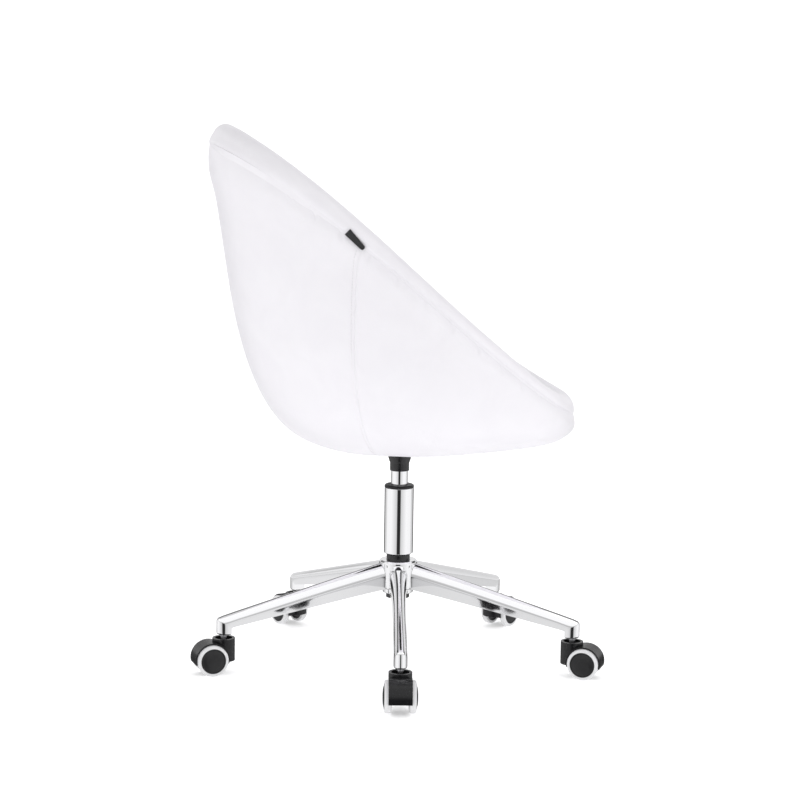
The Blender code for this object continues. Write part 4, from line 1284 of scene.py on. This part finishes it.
arm = make_arm()
for k, angle in enumerate(arm_angles):
    turned_arm = copied(arm, f"chrome_arm_{k + 1}", to_axis @ Matrix.Rotation(angle, 4, "Z"))
    tidy(turned_arm, 32.0, flats=True)
    dress(turned_arm, chrome, "base", f"base_arm_{k + 1}")
bpy.data.objects.remove(arm, do_unlink=True)
print("arms made")

# %% [markdown]
# ## The casters
#
# A twin-wheel caster has a moulded hood with a round boss for the stem, and a mudguard that
# covers the back of both wheels. Each wheel is black with a slightly domed cap, and a pale soft
# tread is moulded round it. They are modelled once about the stem, with X pointing outwards.

# %% Hood of one caster
WHEEL_RADIUS = 0.0255
TRAIL = 0.0228
GUARD_OUTER, GUARD_INNER = 0.0283, 0.0263
HOOD_HALF, WEB_HALF = 0.0185, 0.0129


def cross_cylinder(radius, low, high, sides=72):
    """A cylinder along Y, centred on the axle."""
    bpy.ops.object.select_all(action="DESELECT")
    bpy.ops.mesh.primitive_cylinder_add(
        vertices=sides, radius=radius, depth=high - low, rotation=(math.pi / 2, 0, 0),
        location=(TRAIL, (low + high) / 2, WHEEL_RADIUS),
    )
    bpy.ops.object.transform_apply(location=True, rotation=True, scale=True)
    return bpy.context.object


def block(low, high):
    bpy.ops.object.select_all(action="DESELECT")
    centre = [(a + b) / 2 for a, b in zip(low, high)]
    bpy.ops.mesh.primitive_cube_add(size=1.0, location=centre)
    made = bpy.context.object
    made.scale = [b - a for a, b in zip(low, high)]
    bpy.ops.object.transform_apply(location=True, rotation=True, scale=True)
    return made


def make_hood():
    hood = cross_cylinder(GUARD_OUTER, -HOOD_HALF, HOOD_HALF, 96)
    combine(hood, block((-0.1, -0.1, -0.1), (0.1, 0.1, WHEEL_RADIUS - 0.0066)))
    combine(hood, upright_cylinder(HOOD_HALF, 0.0215, 0.0586, 72), "UNION")
    for side in (-1, 1):
        low, high = sorted((side * WEB_HALF, side * 0.04))
        combine(hood, cross_cylinder(GUARD_INNER, low, high, 96))
    for radius, low, high in ((0.0141, 0.0526, 0.1), (0.0053, 0.0309, 0.1)):
        combine(hood, upright_cylinder(radius, low, high, 48))
    combine(hood, cross_cylinder(0.0033, -0.1, 0.1, 32))
    for side in (-1, 1):
        low, high = sorted((side * 0.0024, side * 0.0106))
        room = cross_cylinder(GUARD_INNER - 0.0022, low, high, 64)
        combine(room, block((-0.1, -0.1, WHEEL_RADIUS + 0.006), (0.0098, 0.1, 0.1)))
        combine(room, block((-0.1, -0.1, -0.1), (0.0082, 0.1, 0.1)))
        combine(room, cross_cylinder(0.0062, -0.1, 0.1, 32))
        combine(hood, room)
    soften(hood, 0.0005, 2, 40.0)
    return tidy(hood, 35.0)


hood = make_hood()
print("hood:", len(hood.data.polygons), "faces")

# %% Wheel and tread of one caster
RIM = WHEEL_RADIUS - 0.0049 - 0.0003
wheel_outline = [
    (0.0, 0.0228), (0.0033, 0.0228), (0.0033, 0.0134), (0.0075, 0.0134), (0.0085, 0.0142), (0.0170, 0.0150),
    (RIM - 0.0012, 0.0136), (RIM, 0.0136), (RIM, 0.0247), (RIM - 0.0006, 0.0254), (RIM - 0.0016, 0.0254),
    (RIM - 0.0022, 0.0249), (RIM - 0.0030, 0.0256), (0.0120, 0.0270), (0.0060, 0.0275), (0.0, 0.0276),
]
tread_inner, tread_low, tread_high = WHEEL_RADIUS - 0.0049, 0.0134, 0.0248
tread_outline = [
    (tread_inner, tread_low), (WHEEL_RADIUS - 0.0022, tread_low),
    (WHEEL_RADIUS - 0.0008, tread_low + 0.0006),
    (WHEEL_RADIUS, tread_low + 0.0022), (WHEEL_RADIUS, tread_high - 0.0022),
    (WHEEL_RADIUS - 0.0008, tread_high - 0.0006), (WHEEL_RADIUS - 0.0022, tread_high),
    (tread_inner, tread_high),
]
wheel = spun("wheel", wheel_outline, 72, 0.0002)
tread = spun("tread", tread_outline, 72, 0.0003, sleeve=True)
lay_down = Matrix.Translation((TRAIL, 0.0, WHEEL_RADIUS)) @ Matrix.Rotation(-math.pi / 2, 4, "X")
lay_over = Matrix.Translation((TRAIL, 0.0, WHEEL_RADIUS)) @ Matrix.Rotation(math.pi / 2, 4, "X")
stem_outline = [
    (0.0, 0.0313), (0.0042, 0.0313), (0.0050, 0.0321), (0.0050, 0.0600), (0.0056, 0.0604),
    (0.0056, 0.0622),
    (0.0050, 0.0626), (0.0050, 0.0815), (0.0040, 0.0829), (0.0, 0.0829),
]
stem = spun("stem", stem_outline, 40, 0.0001)
axle_outline = [
    (0.0, -0.0224), (0.0025, -0.0224), (0.0030, -0.0219), (0.0030, 0.0219), (0.0025, 0.0224),
    (0.0, 0.0224),
]
axle = spun("axle", axle_outline, 32)

# %% [markdown]
# The five sets are copies of these, each moved to its stem. Left and right are seen from the
# hub, and the right-hand wheel is the left one turned round.

# %% Set out the five casters


def caster_piece(source, name, matrix, body, node, material):
    made = copied(source, name, matrix)
    tidy(made, 40.0, flats=True)
    return dress(made, material, body, node)


for k, angle in enumerate(arm_angles, start=1):
    here = to_axis @ Matrix.Rotation(angle, 4, "Z") @ Matrix.Translation((stem_circle, 0, 0))
    own = f"caster_{k}"
    caster_piece(stem, f"stem_{k}", here, "base", f"caster_stem_{k}", steel)
    caster_piece(hood, f"hood_{k}", here, own, f"caster_hood_{k}", black_gloss)
    caster_piece(axle, f"axle_{k}", here @ lay_down, own, f"caster_axle_{k}", steel)
    for side, turn in (("left", lay_down), ("right", lay_over)):
        body, end = f"wheel_{k}_{side}", f"{k}_{side}"
        for source, name, node, slot_name, material in (
            (wheel, "hub", "caster_wheel", "wheel_plastic", black_satin),
            (tread, "tyre", "caster_tread", "tread_rubber", pale_rubber),
        ):
            node = f"{node}_{end}"
            caster_piece(source, f"{name}_{end}", here @ turn, body, node, material)
for helper in (hood, wheel, tread, stem, axle):
    bpy.data.objects.remove(helper, do_unlink=True)
print("casters set out")

# %% [markdown]
# ## The release lever and the plate
#
# A bent steel rod reaches out to the sitter's left under the seat and ends in a flat black
# grip. The grip, rod, plate and bolts are copies of their solids with every edge rounded. The
# other small steel pieces already have the right shape, so they keep it and get their finish.

# %% Grip and rod


def softened_copy(node, name, body, material, bevel):
    """A welded copy of a solid, rounded and smoothed, that stands for it."""
    made = bpy.data.objects.new(name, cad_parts[node].data.copy())
    bpy.context.scene.collection.objects.link(made)
    made.data.materials.clear()
    tidy(made, 30.0, 0.00005)
    pick(made)
    bpy.ops.object.mode_set(mode="EDIT")
    bpy.ops.mesh.select_all(action="SELECT")
    bpy.ops.mesh.dissolve_limited(angle_limit=math.radians(1.0))
    bpy.ops.object.mode_set(mode="OBJECT")
    soften(made, bevel, 3, 25.0)
    tidy(made, 40.0)
    return dress(made, material, body, node)


softened_copy("lever_grip", "lever_paddle", "lever", black_satin, 0.0012)
softened_copy("lever_rod", "lever_bar", "lever", steel, 0.0004)
softened_copy("seat_plate", "mounting_plate", "seat", black_paint_and_painted_shade, 0.0004)
for number in range(1, 5):
    softened_copy(f"plate_bolt_{number}", f"bolt_{number}", "seat", steel, 0.0003)

# %% Finishes for the solids that keep their shape
kept_finishes = {
    "piston_rod": steel, "thrust_bearing": steel, "release_pin": steel, "seat_shell": shell_board,
}
for node, material in kept_finishes.items():
    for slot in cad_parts[node].material_slots:
        slot.material = material
print("kept solids:", sorted(kept_finishes))

# %% [markdown]
# ## Studio
#
# White furniture on white is lit almost evenly: a bright room, a large soft light above, one
# to each side, and one behind. The floor curves up into the backdrop, so that no horizon shows. Chrome
# needs dark things to reflect, and studios hang black cards for that. Here the room itself has
# a few dark bands, which draw crisp dark lines along the arms and the column.

# %% Floor and backdrop


def cove():
    """A floor that curves up into a wall behind the chair."""
    near, far, rise, curve = -9.0, 3.4, 6.0, 1.6
    profile = [(near, 0.0), (far - curve, 0.0)]
    for i in range(1, 17):
        angle = i / 16 * math.pi / 2
        profile.append((far - curve + curve * math.sin(angle), curve - curve * math.cos(angle)))
    profile.append((far, rise))
    points = [(x, y, z) for x, z in profile for y in (-9.0, 9.0)]
    faces = [(2 * i, 2 * i + 2, 2 * i + 3, 2 * i + 1) for i in range(len(profile) - 1)]
    piece = add_mesh("studio_cove", points, faces)
    place(piece, Matrix.Translation(axis) @ Matrix.Rotation(math.atan2(heading.y, heading.x), 4, "Z"))
    pick(piece)
    bpy.ops.object.shade_smooth()
    return piece


floor = cove()
paper, tree, shader = new_finish("studio_paper", (0.93, 0.93, 0.935), 0.9, Emission_Strength=0.40)
shader.inputs["Emission Color"].default_value = (1.0, 1.0, 1.0, 1.0)
floor.data.materials.append(paper)
floor.visible_glossy = False

# %% Room light with dark bands
world = bpy.data.worlds.new("studio_room")
bpy.context.scene.world = world
world.use_nodes = True
room = world.node_tree
background = room.nodes["Background"]
ray = add_node(room, "ShaderNodeTexCoord").outputs["Generated"]
turn = add_node(room, "ShaderNodeMapping", [("Vector", ray)])
turn.inputs["Rotation"].default_value = (0.0, 0.0, -math.atan2(-heading.y, -heading.x))
axes = add_node(room, "ShaderNodeSeparateXYZ", [("Vector", turn.outputs["Vector"])])
aside = maths(room, "ABSOLUTE", maths(room, "ARCTAN2", axes.outputs["Y"], axes.outputs["X"]))
over = maths(room, "ARCTAN2", axes.outputs["Z"], axes.outputs["X"])


def ramp_by_angle(tree, angle, stops):
    """A grey ramp over 0 to 180 degrees. A stop is (degrees, level)."""
    node = add_node(tree, "ShaderNodeValToRGB", [("Fac", maths(tree, "DIVIDE", angle, math.pi, True))])
    elements = node.color_ramp.elements
    for k, (degrees, level) in enumerate(stops):
        stop = elements[k] if k < 2 else elements.new(degrees / 180.0)
        stop.position = degrees / 180.0
        stop.color = (level, level, level * 1.004, 1.0)
    return node.outputs["Color"]


low_room = ramp_by_angle(room, aside, [
    (0, 0.03), (11, 0.03), (16, 0.75), (36, 0.95), (60, 1.15), (104, 1.10), (112, 0.80), (134, 0.70),
    (139, 0.06), (156, 0.05), (161, 0.95), (180, 0.95),
])
high_room = ramp_by_angle(room, over, [
    (0, 0.55), (8, 0.70), (14, 1.20), (74, 1.25), (84, 0.80), (112, 0.75), (120, 0.10), (148, 0.05),
    (156, 0.80), (180, 1.00),
])
joined = add_node(room, "ShaderNodeMix", data_type="RGBA")
room.links.new(spread(room, axes.outputs["Z"], -0.04, 0.02), joined.inputs["Factor"])
room.links.new(low_room, joined.inputs["A"])
room.links.new(high_room, joined.inputs["B"])

# What lights the chair is smoother: almost even, and a little weaker from overhead.
EVEN_LIGHT = 0.835
less_above = spread(room, axes.outputs["Z"], 0.0, 1.0, 0.0, 0.04)
front_light = maths(room, "SUBTRACT", EVEN_LIGHT, less_above)
lit = add_node(room, "ShaderNodeMix", data_type="RGBA")
room.links.new(add_node(room, "ShaderNodeLightPath").outputs["Is Glossy Ray"], lit.inputs["Factor"])
room.links.new(front_light, lit.inputs["A"])
room.links.new(joined.outputs["Result"], lit.inputs["B"])
paper_beyond = add_node(room, "ShaderNodeMix", data_type="RGBA")
seen = add_node(room, "ShaderNodeLightPath").outputs["Is Camera Ray"]
room.links.new(seen, paper_beyond.inputs["Factor"])
room.links.new(lit.outputs["Result"], paper_beyond.inputs["A"])
paper_beyond.inputs["B"].default_value = (1.08, 1.08, 1.08, 1.0)
room.links.new(paper_beyond.outputs["Result"], background.inputs["Color"])
background.inputs["Strength"].default_value = 0.935

# %% Soft lights


def softbox(name, azimuth, elevation, distance, size, power):
    """An area light that faces the seat. Azimuth 0 is the camera's side."""
    data = bpy.data.lights.new(name, "AREA")
    data.shape = "RECTANGLE"
    data.size, data.size_y = size
    data.energy = power
    lamp = bpy.data.objects.new(name, data)
    bpy.context.scene.collection.objects.link(lamp)
    target = axis + Vector((0.0, 0.0, 0.5))
    turn_by = math.atan2(-heading.y, -heading.x) + math.radians(azimuth)
    flat = math.cos(math.radians(elevation)) * distance
    high = math.sin(math.radians(elevation)) * distance
    offset = Vector((math.cos(turn_by) * flat, math.sin(turn_by) * flat, high))
    lamp.location = target + offset
    lamp.rotation_mode = "QUATERNION"
    lamp.rotation_quaternion = (-offset).to_track_quat("-Z", "Y")
    return lamp


softbox("top_box", 60.0, 62.0, 3.0, (2.2, 2.2), 11.0)
softbox("back_box", -112.0, 24.0, 3.2, (1.8, 2.4), 3.0)
softbox("left_box", 56.0, 22.0, 3.2, (1.6, 2.2), 2.8)
softbox("right_box", -50.0, 20.0, 3.2, (1.6, 2.2), 2.2)
bpy.context.scene.view_settings.view_transform = "Standard"
print("studio ready")
